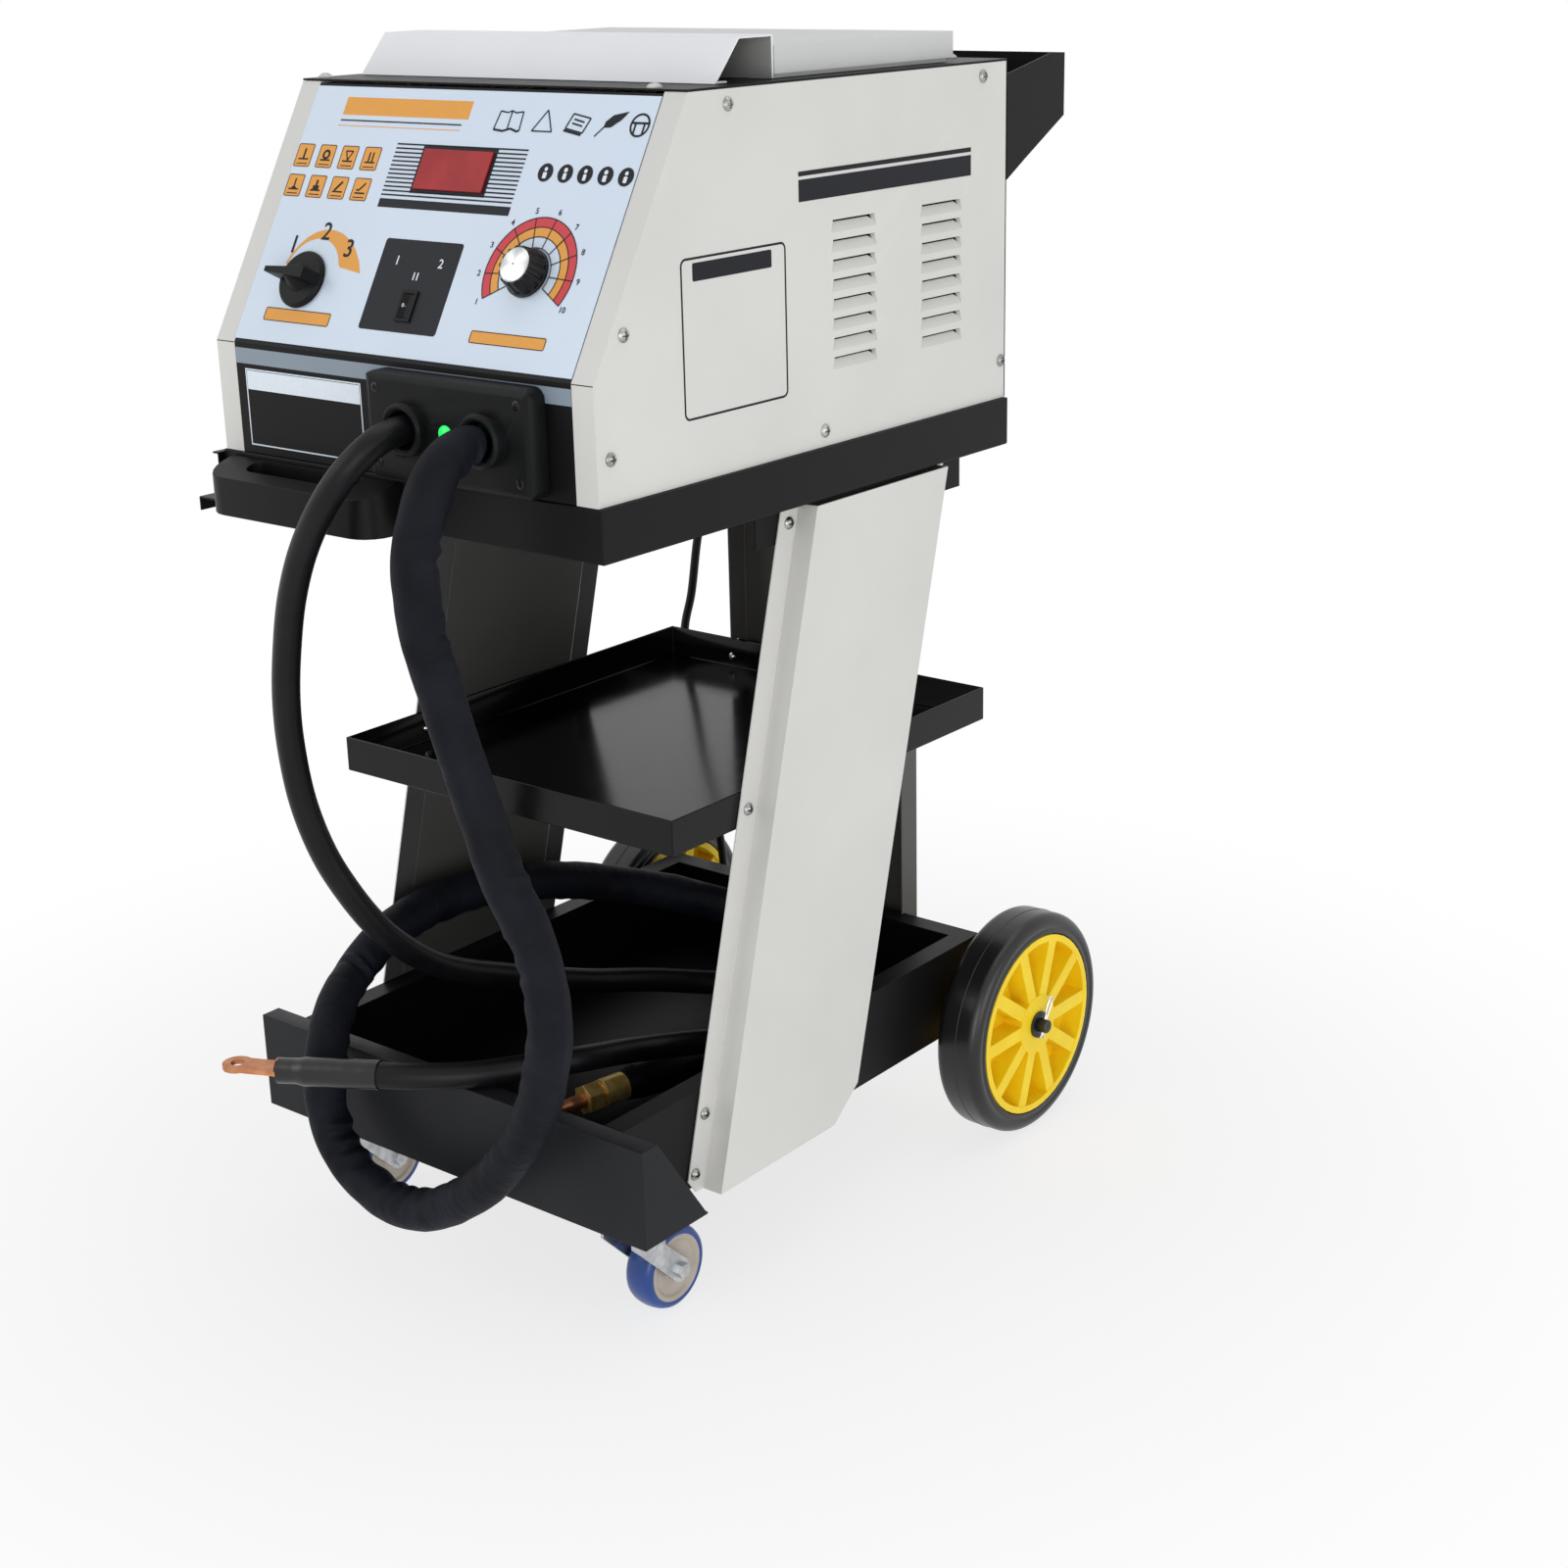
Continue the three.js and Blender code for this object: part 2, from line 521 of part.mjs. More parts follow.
const rimBody = join([
  turnedX(ring(RIM_RADIUS - RIM_RING, RIM_RADIUS, -HALF_WHEEL, HALF_WHEEL), 48, 0, 0, 0),
  turnedX(disc(RIM_RADIUS - RIM_RING / 2, -WEB_HALF, WEB_HALF), 48, 0, 0, 0),
  turnedX(disc(HUB_RADIUS, -WEB_HALF, HALF_WHEEL), 32, 0, 0, 0),
  turnedX(disc(HUB_BOSS_RADIUS, BOSS_END, 0), 24, 0, 0, 0),
  ...Array.from({ length: SPOKE_COUNT }, (_, k) => box(
    -HALF_WHEEL + WEB_HALF, HALF_WHEEL - WELD, -SPOKE_WIDTH / 2, SPOKE_WIDTH / 2,
    HUB_BOSS_RADIUS - WEB_HALF, RIM_RADIUS - RIM_RING / 2)
    .rotateX(((k + SPOKE_TURN_SHARE) * Math.PI * 2) / SPOKE_COUNT))]);
const rimRight = cut(rimBody, [
  turnedX(disc(AXLE_RADIUS + AXLE_PLAY, -WHEEL_WIDTH, WHEEL_WIDTH), 24, 0, 0, 0)])
  .translate(WHEEL_X, WHEEL_Y, WHEEL_RADIUS);
addPiece('wheel_rim_right', rimRight, yellowPlastic());
addPiece('wheel_rim_left', mirrored(rimRight), yellowPlastic());

// Casters: plate with race, fork with its bolt, wheel
const CASTER_PLATE_X = 33;
const CASTER_PLATE_Y = 27;
const CASTER_PLATE = 3;
const RACE_RADIUS = 22;
const RACE_HEIGHT = 8;
const KING_RADIUS = 5;
const PLATE_TOP = BASE_BOTTOM - GAP;
const RACE_BOTTOM = PLATE_TOP - CASTER_PLATE - RACE_HEIGHT;
const casterPlate = cut(join([
  box(-CASTER_PLATE_X, CASTER_PLATE_X, -CASTER_PLATE_Y, CASTER_PLATE_Y,
    PLATE_TOP - CASTER_PLATE, PLATE_TOP),
  turnedZ([
    [0, RACE_BOTTOM],
    [RACE_RADIUS - CASTER_PLATE, RACE_BOTTOM],
    [RACE_RADIUS, RACE_BOTTOM + CASTER_PLATE],
    [RACE_RADIUS, PLATE_TOP - WELD],
    [0, PLATE_TOP - WELD]], 32, 0, 0, 0)]), [
  turnedZ(disc(KING_RADIUS + GAP, RACE_BOTTOM - PLATE, PLATE_TOP - CASTER_PLATE), 24, 0, 0, 0)]);
const FORK_TOP = RACE_BOTTOM - GAP;
const FORK_SHEET = 3;
const FORK_DISC = 21;
const ARM_PLAY = 1.2;
const ARM_INNER = CASTER_WIDTH / 2 + ARM_PLAY;
const ARM_LOBE = 10;
const LOBE_START_SHARE = 0.78;
const LOBE_END_SHARE = 0.15;
const BOLT_RADIUS = 4;
const BOLT_HEAD = 6.5;
const BOLT_HEAD_THICK = 4;
const armOutline = [
  ...arcPoints(CASTER_TRAIL, CASTER_RADIUS, ARM_LOBE, -Math.PI * LOBE_START_SHARE,
    Math.PI * LOBE_END_SHARE, 8),
  [FORK_DISC - FORK_SHEET, FORK_TOP - FORK_DISC],
  [FORK_DISC - FORK_SHEET, FORK_TOP],
  [-FORK_DISC + FORK_SHEET, FORK_TOP],
  [-FORK_DISC + FORK_SHEET, FORK_TOP - ARM_LOBE]];
const casterFork = join([
  turnedZ(disc(FORK_DISC, FORK_TOP - FORK_SHEET, FORK_TOP), 32, 0, 0, 0),
  turnedZ(disc(KING_RADIUS, FORK_TOP - FORK_SHEET, PLATE_TOP - CASTER_PLATE - PLATE), 24, 0, 0, 0),
  alongX(armOutline, ARM_INNER, ARM_INNER + FORK_SHEET),
  alongX(armOutline, -ARM_INNER - FORK_SHEET, -ARM_INNER),
  turnedX(disc(BOLT_RADIUS, -ARM_INNER - FORK_SHEET, ARM_INNER + FORK_SHEET), 16,
    0, CASTER_TRAIL, CASTER_RADIUS),
  turnedX(disc(BOLT_HEAD, -ARM_INNER - FORK_SHEET - BOLT_HEAD_THICK, -ARM_INNER - WELD), 6,
    0, CASTER_TRAIL, CASTER_RADIUS),
  turnedX(disc(BOLT_HEAD, ARM_INNER + WELD, ARM_INNER + FORK_SHEET + BOLT_HEAD_THICK), 6,
    0, CASTER_TRAIL, CASTER_RADIUS)]);
const CASTER_EDGE = 5;
const CASTER_HALF = CASTER_WIDTH / 2;
const casterWheel = turnedX([
  [BOLT_RADIUS + GAP, -CASTER_HALF],
  [CASTER_RADIUS - CASTER_EDGE, -CASTER_HALF],
  [CASTER_RADIUS - WELD * 2, -CASTER_HALF + CASTER_EDGE],
  [CASTER_RADIUS, 0],
  [CASTER_RADIUS - WELD * 2, CASTER_HALF - CASTER_EDGE],
  [CASTER_RADIUS - CASTER_EDGE, CASTER_HALF],
  [BOLT_RADIUS + GAP, CASTER_HALF],
  [BOLT_RADIUS + GAP, -CASTER_HALF]], 36, 0, CASTER_TRAIL, CASTER_RADIUS);
for (const [side, x] of [['left', -CASTER_X], ['right', CASTER_X]]) {
  addPiece(`caster_plate_${side}`, casterPlate.clone().translate(x, CASTER_Y, 0), steel());
  addPiece(`caster_fork_${side}`, casterFork.clone().translate(x, CASTER_Y, 0), steel());
  addPiece(`caster_wheel_${side}`, casterWheel.clone().translate(x, CASTER_Y, 0),
    material(0x1d3978, 0.45, 0));
}

// Case sides with front, top and rear flanges and louvres pressed inwards
const TOP_UNDER = CASE_TOP - SHEET - GAP;
const SIDE_REAR = CASE_DEPTH - SHEET - GAP;
const CASE_FLANGE = 20;
const TOP_SHARE = (TOP_UNDER - KINK_Z) / SLANT_RISE;
const sideOutline = [
  [0, CASE_BOTTOM],
  [SIDE_REAR, CASE_BOTTOM],
  [SIDE_REAR, TOP_UNDER],
  [SLANT_DEPTH * TOP_SHARE, TOP_UNDER],
  [0, KINK_Z]];
const sideFold = folded([
  [SIDE_REAR, CASE_BOTTOM],
  [SIDE_REAR, TOP_UNDER],
  [SLANT_DEPTH * TOP_SHARE, TOP_UNDER],
  [0, KINK_Z],
  [0, CASE_BOTTOM]], SHEET);
const LOUVRE_ROWS = 8;
const LOUVRE_PITCH = 14.3;
const LOUVRE_LIFT = 64.5;
const LOUVRE_FIRST_Z = CASE_BOTTOM + LOUVRE_LIFT;
const LOUVRE_LENGTH = 58;
const LOUVRE_HEIGHT = 9;
const LOUVRE_DEPTH = 4.5;
const LOUVRE_TAPER = 3.2;
const LOUVRE_SKIN = 0.8;
const LOUVRE_SLIT = 1.9;
const LOUVRE_CORNER = 4.6;
const LOUVRE_SETBACKS = [232.2, 119.7];
const LOUVRE_STARTS = LOUVRE_SETBACKS.map((setback) => CASE_DEPTH - setback);
const louvrePlaces = LOUVRE_STARTS.flatMap((y) => Array.from(
  { length: LOUVRE_ROWS }, (_, row) => [y, LOUVRE_FIRST_Z + row * LOUVRE_PITCH]));

// A louvre narrows towards its cut edge, which is its top; points are (y, z)
const louvrePlan = (y, z, inset, rise) => [
  [y + inset, z - LOUVRE_HEIGHT],
  [y + LOUVRE_LENGTH - inset, z - LOUVRE_HEIGHT],
  [y + LOUVRE_LENGTH - LOUVRE_TAPER - inset, z + rise],
  [y + LOUVRE_TAPER + inset, z + rise]];
const louvreShells = louvrePlaces.map(([y, z]) => overlap(
  alongY([
    [CASE_HALF - WELD, z - LOUVRE_HEIGHT],
    [CASE_HALF - SHEET, z - LOUVRE_HEIGHT],
    [CASE_HALF - LOUVRE_DEPTH - LOUVRE_SKIN, z],
    [CASE_HALF - WELD, z]], y, y + LOUVRE_LENGTH),
  alongX(louvrePlan(y, z, 0, 0), CASE_HALF - CASE_FLANGE, CASE_HALF)));
const louvreHollows = louvrePlaces.map(([y, z]) => overlap(
  alongY([
    [CASE_HALF, z - LOUVRE_HEIGHT],
    [CASE_HALF + SHEET, z - LOUVRE_HEIGHT],
    [CASE_HALF + SHEET, z],
    [CASE_HALF - SHEET, z],
    [CASE_HALF - SHEET, z + LOUVRE_SKIN],
    [CASE_HALF - LOUVRE_DEPTH, z + LOUVRE_SKIN],
    [CASE_HALF - LOUVRE_DEPTH, z]], y, y + LOUVRE_LENGTH),
  alongX(louvrePlan(y, z, LOUVRE_SKIN, LOUVRE_SKIN), CASE_HALF - CASE_FLANGE, CASE_HALF + PLATE)));

// The flap ends below the cut edge, and lower still at its rear corner, which is open
const louvreSlits = louvrePlaces.map(([y, z]) => alongX([
  [y + LOUVRE_TAPER, z - LOUVRE_SLIT],
  [y + LOUVRE_LENGTH - LOUVRE_TAPER - LOUVRE_CORNER, z - LOUVRE_SLIT],
  [y + LOUVRE_LENGTH - LOUVRE_TAPER, z - LOUVRE_CORNER],
  [y + LOUVRE_LENGTH - LOUVRE_TAPER, z],
  [y + LOUVRE_TAPER, z]], CASE_HALF - CASE_FLANGE / 2, CASE_HALF + PLATE));
const caseSideRight = cut(join([
  alongX(sideOutline, CASE_HALF - SHEET, CASE_HALF),
  alongX(sideFold, CASE_HALF - CASE_FLANGE, CASE_HALF),
  ...louvreShells]), [...louvreHollows, ...louvreSlits]);
addPiece('case_side_right', caseSideRight, whitePaint());
addPiece('case_side_left', mirrored(caseSideRight), whitePaint());

// Front panel: folded at the kink, with tabs behind the side flanges
const PANEL_HALF = CASE_HALF - CASE_FLANGE - GAP;
const TAB_REACH = 14;
const PANEL_THICK = SHEET + GAP + WELD;
const TAB_BACK = SHEET * 2 + GAP;
const SLANT_TOP_S = SLANT_LENGTH * TOP_SHARE - SHEET;
const frontPath = (depth) => [
  [depth, CASE_BOTTOM + GAP],
  [depth, KINK_Z - depth * Math.tan(SLANT_ANGLE / 2)],
  onSlant(SLANT_TOP_S, -depth)];
const frontStrip = (d0, d1) => frontPath(d0).concat(frontPath(d1).reverse());
const WINDOW_X = [-35, 34];
const WINDOW_S = [128.6, 159.4];
const WINDOW_CUT = 2;
const SELECTOR_PLACE = [-117.3, 52.3];
const DIAL_PLACE = [103, 73];
const ROCKER_X = [-10.6, 5];
const ROCKER_S = [29, 52.6];
const ROCKER_BEZEL = 2;
const SHAFT_HOLE = 5;
const GLAND_LIFT = 40.5;
const GLAND_PLACES = [28.5, 103.5];
const GLAND_Z = CASE_BOTTOM + GLAND_LIFT;
const LAMP_PLACE = [66, GLAND_Z];
const CORD_HOLE = 14;
const PANEL_REACH = 40;

function slantTool(geometry, x, s) {
  const [y, z] = onSlant(s, 0);
  return geometry.rotateX(-SLANT_ANGLE).translate(x, y, z);
}
const panelCuts = (margin) => [
  slantTool(box(WINDOW_X[0] + WINDOW_CUT - margin, WINDOW_X[1] - WINDOW_CUT + margin,
    -PANEL_REACH, PANEL_REACH,
    -(WINDOW_S[1] - WINDOW_S[0]) / 2 + WINDOW_CUT - margin,
    (WINDOW_S[1] - WINDOW_S[0]) / 2 - WINDOW_CUT + margin), 0, (WINDOW_S[0] + WINDOW_S[1]) / 2),
  slantTool(turnedY(disc(SHAFT_HOLE + margin, -PANEL_REACH, PANEL_REACH), 24, 0, 0, 0),
    SELECTOR_PLACE[0], SELECTOR_PLACE[1]),
  slantTool(turnedY(disc(SHAFT_HOLE + margin, -PANEL_REACH, PANEL_REACH), 24, 0, 0, 0),
    DIAL_PLACE[0], DIAL_PLACE[1]),
  slantTool(box(ROCKER_X[0] + ROCKER_BEZEL - margin, ROCKER_X[1] - ROCKER_BEZEL + margin,
    -PANEL_REACH, PANEL_REACH,
    -(ROCKER_S[1] - ROCKER_S[0]) / 2 + ROCKER_BEZEL - margin,
    (ROCKER_S[1] - ROCKER_S[0]) / 2 - ROCKER_BEZEL + margin), 0, (ROCKER_S[0] + ROCKER_S[1]) / 2)];
addPiece('front_panel', cut(join([
  alongX(frontStrip(0, PANEL_THICK), -PANEL_HALF, PANEL_HALF),
  alongX(frontStrip(SHEET + GAP, TAB_BACK), -PANEL_HALF - TAB_REACH, PANEL_HALF + TAB_REACH)]),
panelCuts(0)), blackPaint());

// Printed overlay on the slanted panel
const OVERLAY_THICK = 0.5;
const OVERLAY_MARGINS = [3, 5.9];
const OVERLAY_S = [OVERLAY_MARGINS[0], SLANT_LENGTH - OVERLAY_MARGINS[1]];
const overlayStrip = [
  onSlant(OVERLAY_S[0], GAP),
  onSlant(OVERLAY_S[1], GAP),
  onSlant(OVERLAY_S[1], GAP + OVERLAY_THICK),
  onSlant(OVERLAY_S[0], GAP + OVERLAY_THICK)].reverse();
addPiece('panel_overlay', cut(alongX(overlayStrip, -PANEL_HALF, PANEL_HALF), panelCuts(0)),
  bluePaint());

// Top sheet
addPiece('case_top', box(-CASE_HALF, CASE_HALF, SLANT_DEPTH - SHEET, SIDE_REAR + SHEET,
  CASE_TOP - SHEET, CASE_TOP), blackPaint());

// Floor of the case
const FLOOR_HALF = CASE_HALF - SHEET - GAP;
const FLOOR_LIP = 14;
const FLOOR_FRONT = TAB_BACK + GAP;
const FLOOR_REAR = SIDE_REAR - SHEET - GAP;
addPiece('case_base', alongY(folded([
  [-FLOOR_HALF, CASE_BOTTOM + FLOOR_LIP],
  [-FLOOR_HALF, CASE_BOTTOM + GAP],
  [FLOOR_HALF, CASE_BOTTOM + GAP],
  [FLOOR_HALF, CASE_BOTTOM + FLOOR_LIP]], SHEET), FLOOR_FRONT, FLOOR_REAR), blackPaint());

// Rear panel
const MAINS_INSET = 46.4;
const MAINS_X = -CASE_HALF + MAINS_INSET;
const MAINS_LIFT = 35.5;
const MAINS_Z = CASE_BOTTOM + MAINS_LIFT;
const GLAND_THREAD = 8;
addPiece('case_rear', cut(
  box(-CASE_HALF, CASE_HALF, CASE_DEPTH - SHEET, CASE_DEPTH, CASE_BOTTOM, CASE_TOP - SHEET - GAP), [
    turnedY(disc(GLAND_THREAD + GAP, 0, CASE_DEPTH * 2), 24, MAINS_X, 0, MAINS_Z)]), blackPaint());

// Hood on the top sheet
const HOOD_INSET = 14.4;
const HOOD_HALF = CASE_HALF - HOOD_INSET;
const HOOD_FRONT = 151.3;
const HOOD_TOP_FRONT = 178.8;
const HOOD_REAR = 216.8;
const HOOD_HEIGHT = 30.4;
const HOOD_TOP = CASE_TOP + HOOD_HEIGHT;
const HOOD_HEM = 14;
const TOP_FACE = CASE_TOP + GAP;
addPiece('top_hood', alongX(folded([
  [HOOD_FRONT + HOOD_HEM, TOP_FACE],
  [HOOD_FRONT, TOP_FACE],
  [HOOD_TOP_FRONT, HOOD_TOP],
  [HOOD_REAR, HOOD_TOP],
  [HOOD_REAR, TOP_FACE]], -SHEET), -HOOD_HALF, HOOD_HALF), whitePaint());

// Lid behind the hood
const LID_FRONT = HOOD_REAR + GAP * 3;
const LID_SETBACK = 54.2;
const LID_HEIGHT = 19.5;
const LID_LIFT = 3.4;
const LID_REAR = CASE_DEPTH - LID_SETBACK;
const LID_FOOT = CASE_TOP + LID_LIFT;
const LID_TOP = LID_FOOT + LID_HEIGHT;
const LID_RAIL = 4;
addPiece('top_lid', cut(join([
  box(-HOOD_HALF, HOOD_HALF, LID_FRONT, LID_REAR, LID_FOOT, LID_TOP),
  box(-HOOD_HALF + LID_RAIL, -HOOD_HALF + LID_RAIL * 2, LID_FRONT + LID_RAIL, LID_REAR - LID_RAIL,
    TOP_FACE, LID_TOP - WELD),
  box(HOOD_HALF - LID_RAIL * 2, HOOD_HALF - LID_RAIL, LID_FRONT + LID_RAIL, LID_REAR - LID_RAIL,
    TOP_FACE, LID_TOP - WELD)]), [
  box(-HOOD_HALF + SHEET, -HOOD_HALF + LID_RAIL, LID_FRONT + SHEET, LID_REAR - SHEET,
    LID_FOOT - PLATE, LID_TOP - SHEET),
  box(HOOD_HALF - LID_RAIL, HOOD_HALF - SHEET, LID_FRONT + SHEET, LID_REAR - SHEET,
    LID_FOOT - PLATE, LID_TOP - SHEET),
  box(-HOOD_HALF + LID_RAIL * 2, HOOD_HALF - LID_RAIL * 2, LID_FRONT + SHEET, LID_REAR - SHEET,
    LID_FOOT - PLATE, LID_TOP - SHEET)]), whitePaint());

// Open bin on the rear panel
const BIN_FRONT = CASE_DEPTH + GAP;
const BIN_DEPTH = 83.5;
const BIN_FLOOR_DROP = 92.6;
const BIN_FLOOR_RISE = 44;
const BIN_SIDE_DROP = 11.8;
const BIN_KNEE_BACK = 19.3;
const BIN_KNEE_RISE = 0.7;
const BIN_RISE = 0.4;
const BIN_REAR = BIN_FRONT + BIN_DEPTH;
const BIN_FLOOR_FRONT = CASE_TOP - BIN_FLOOR_DROP;
const BIN_FLOOR_REAR = BIN_FLOOR_FRONT + BIN_FLOOR_RISE;
const BIN_SIDE_FRONT = CASE_TOP - BIN_SIDE_DROP;
const BIN_TOP = CASE_TOP + BIN_RISE;
const BIN_SIDE_KNEE_Y = BIN_REAR - BIN_KNEE_BACK;
const BIN_SIDE_KNEE_Z = BIN_TOP + BIN_KNEE_RISE;
const binSide = [
  [BIN_FRONT, BIN_FLOOR_FRONT],
  [BIN_REAR, BIN_FLOOR_REAR],
  [BIN_REAR, BIN_TOP],
  [BIN_SIDE_KNEE_Y, BIN_SIDE_KNEE_Z],
  [BIN_FRONT, BIN_SIDE_FRONT]];
addPiece('rear_bin', join([
  alongX(binSide, CASE_HALF - SHEET, CASE_HALF),
  alongX(binSide, -CASE_HALF, -CASE_HALF + SHEET),
  alongX(folded([
    [BIN_FRONT + SHEET, BIN_SIDE_FRONT],
    [BIN_FRONT + SHEET, BIN_FLOOR_FRONT + PLATE],
    [BIN_REAR - SHEET, BIN_FLOOR_REAR + PLATE],
    [BIN_REAR - SHEET, BIN_TOP]], -SHEET), -CASE_HALF, CASE_HALF)]), blackPaint());

// Cable box on the lower front panel, with two collars
const BOX_X = [-15, 147];
const BOX_LIFT = 1.5;
const BOX_HEIGHT = 77;
const BOX_Z = [CASE_BOTTOM + BOX_LIFT, CASE_BOTTOM + BOX_LIFT + BOX_HEIGHT];
const BOX_DEPTH = 16;
const BOX_EDGE = 6;
const BOX_CORNER = 9;
const BEVEL_SHARE = 0.3;
const COLLAR_RADIUS = 19.5;
const COLLAR_REACH = 9;
const BOX_BACK = -GAP;
const BOX_FACE = BOX_BACK - BOX_DEPTH;
const boxOutline = [
  [BOX_BACK, BOX_Z[1]],
  [BOX_FACE + BOX_EDGE, BOX_Z[1]],
  [BOX_FACE + BOX_EDGE * BEVEL_SHARE, BOX_Z[1] - BOX_EDGE * BEVEL_SHARE],
  [BOX_FACE, BOX_Z[1] - BOX_EDGE],
  [BOX_FACE, BOX_Z[0] + BOX_EDGE],
  [BOX_FACE + BOX_EDGE * BEVEL_SHARE, BOX_Z[0] + BOX_EDGE * BEVEL_SHARE],
  [BOX_FACE + BOX_EDGE, BOX_Z[0]],
  [BOX_BACK, BOX_Z[0]]];
const boxPlan = [
  [BOX_X[0], BOX_BACK],
  [BOX_X[0], BOX_FACE + BOX_EDGE],
  [BOX_X[0] + BOX_EDGE * BEVEL_SHARE, BOX_FACE + BOX_EDGE * BEVEL_SHARE],
  [BOX_X[0] + BOX_EDGE, BOX_FACE],
  [BOX_X[1] - BOX_EDGE, BOX_FACE],
  [BOX_X[1] - BOX_EDGE * BEVEL_SHARE, BOX_FACE + BOX_EDGE * BEVEL_SHARE],
  [BOX_X[1], BOX_FACE + BOX_EDGE],
  [BOX_X[1], BOX_BACK]];
const boxFront = (inset) => {
  const radius = BOX_CORNER - inset;
  const [left, right] = [BOX_X[0] + BOX_CORNER, BOX_X[1] - BOX_CORNER];
  const [low, high] = [BOX_Z[0] + BOX_CORNER, BOX_Z[1] - BOX_CORNER];
  return [
    ...arcPoints(right, low, radius, -Math.PI / 2, 0, 4),
    ...arcPoints(right, high, radius, 0, Math.PI / 2, 4),
    ...arcPoints(left, high, radius, Math.PI / 2, Math.PI, 4),
    ...arcPoints(left, low, radius, Math.PI, Math.PI * 1.5, 4)];
};
const boxBody = overlap(
  overlap(alongX(boxOutline, BOX_X[0], BOX_X[1]), alongZ(boxPlan, BOX_Z[0], BOX_Z[1])),
  alongY(boxFront(0), BOX_FACE, BOX_BACK));
const collar = [
  [COLLAR_RADIUS - PLATE, BOX_FACE - COLLAR_REACH],
  [COLLAR_RADIUS, BOX_FACE - COLLAR_REACH + PLATE],
  [COLLAR_RADIUS, BOX_FACE + WELD],
  [CORD_HOLE, BOX_FACE + WELD],
  [CORD_HOLE, BOX_FACE - COLLAR_REACH + PLATE],
  [CORD_HOLE + PLATE, BOX_FACE - COLLAR_REACH],
  [COLLAR_RADIUS - PLATE, BOX_FACE - COLLAR_REACH]];
const LAMP_RADIUS = 5.25;
addPiece('gland_box', cut(join([
  boxBody,
  ...GLAND_PLACES.map((x) => turnedY(collar, 28, x, 0, GLAND_Z))]), [
  alongY(boxFront(PLATE), BOX_FACE + BOX_EDGE, BOX_BACK + PLATE),
  turnedY(disc(LAMP_RADIUS + GAP, -CASE_DEPTH, 0), 24, LAMP_PLACE[0], 0, LAMP_PLACE[1]),
  ...GLAND_PLACES.map((x) => turnedY(disc(CORD_HOLE, BOX_FACE - GAP, 0), 28, x, 0, GLAND_Z))]),
blackPaint());

// Indicator lamp
const LAMP_FLANGE = 6.4;
const LAMP_DOME = 3;
const DOME_SHARE = 0.7;
addPiece('indicator_lamp', turnedY([
  [0, BOX_FACE - LAMP_DOME],
  [LAMP_RADIUS * DOME_SHARE, BOX_FACE - LAMP_DOME * DOME_SHARE],
  [LAMP_RADIUS, BOX_FACE - WELD * 2 - GAP],
  [LAMP_FLANGE, BOX_FACE - WELD * 2 - GAP],
  [LAMP_FLANGE, BOX_FACE - GAP],
  [LAMP_RADIUS, BOX_FACE - GAP],
  [LAMP_RADIUS, BOX_BACK - PLATE],
  [0, BOX_BACK - PLATE]], 24, LAMP_PLACE[0], 0, LAMP_PLACE[1]), material(0x1fd35a, 0.3, 0));

// Pieces on the slanted panel stand in groups whose -Y points out of the panel
function panelGroup(name, x, s) {
  const [y, z] = onSlant(s, 0);
  const group = new THREE.Group();
  group.name = name;
  group.position.set(x, y, z);
  group.rotation.x = -SLANT_ANGLE;
  machine.add(group);
  return group;
}
const FACE_OUT = GAP + OVERLAY_THICK + GAP;

// Display module with its window
const DISPLAY_DEPTH = 14;
const displayGroup = panelGroup('display_place', (WINDOW_X[0] + WINDOW_X[1]) / 2,
  (WINDOW_S[0] + WINDOW_S[1]) / 2);
const windowHalfX = (WINDOW_X[1] - WINDOW_X[0]) / 2;
const windowHalfS = (WINDOW_S[1] - WINDOW_S[0]) / 2;
addPiece('display_window', join([
  box(-windowHalfX, windowHalfX, -FACE_OUT - SHEET, -FACE_OUT, -windowHalfS, windowHalfS),
  box(-windowHalfX + WINDOW_CUT + GAP, windowHalfX - WINDOW_CUT - GAP, -FACE_OUT - WELD,
    DISPLAY_DEPTH, -windowHalfS + WINDOW_CUT + GAP, windowHalfS - WINDOW_CUT - GAP)]),
material(0xb4474a, 0.2, 0), displayGroup);

// Selector switch and its pointer knob
const SHAFT_RADIUS = 3;
const SHAFT_OUT = 14;
const BUSHING = 4.4;
const SWITCH_BODY = 22;
const SWITCH_DEPTH = 30;
const BODY_BACK = PANEL_THICK + GAP + SHEET;
const selectorGroup = panelGroup('selector_place', SELECTOR_PLACE[0], SELECTOR_PLACE[1]);
const shaftStack = (bushingOut) => [
  turnedY(disc(SHAFT_RADIUS, -SHAFT_OUT, BODY_BACK + WELD), 20, 0, 0, 0),
  turnedY(disc(BUSHING, -bushingOut, BODY_BACK + WELD), 20, 0, 0, 0)];
addPiece('selector_switch', join([
  ...shaftStack(FACE_OUT),
  box(-SWITCH_BODY, SWITCH_BODY, BODY_BACK, BODY_BACK + SWITCH_DEPTH, -SWITCH_BODY, SWITCH_BODY)]),
blackPlastic(), selectorGroup);
const SELECTOR_RADIUS = 22;
const SELECTOR_BASE = 4;
const SELECTOR_TALL = 18;
const POINTER_TIP = 23.5;
const POINTER_TAIL = 17.5;
const POINTER_FOOT = 20.6;
const POINTER_TIP_HALF = 2;
const POINTER_TAIL_HALF = 4.4;
const HUB_TALL = 15.6;
const HUB_TOP = 5;
const HUB_FOOT = 11;
const KNOB_UNDER = FACE_OUT + WELD;
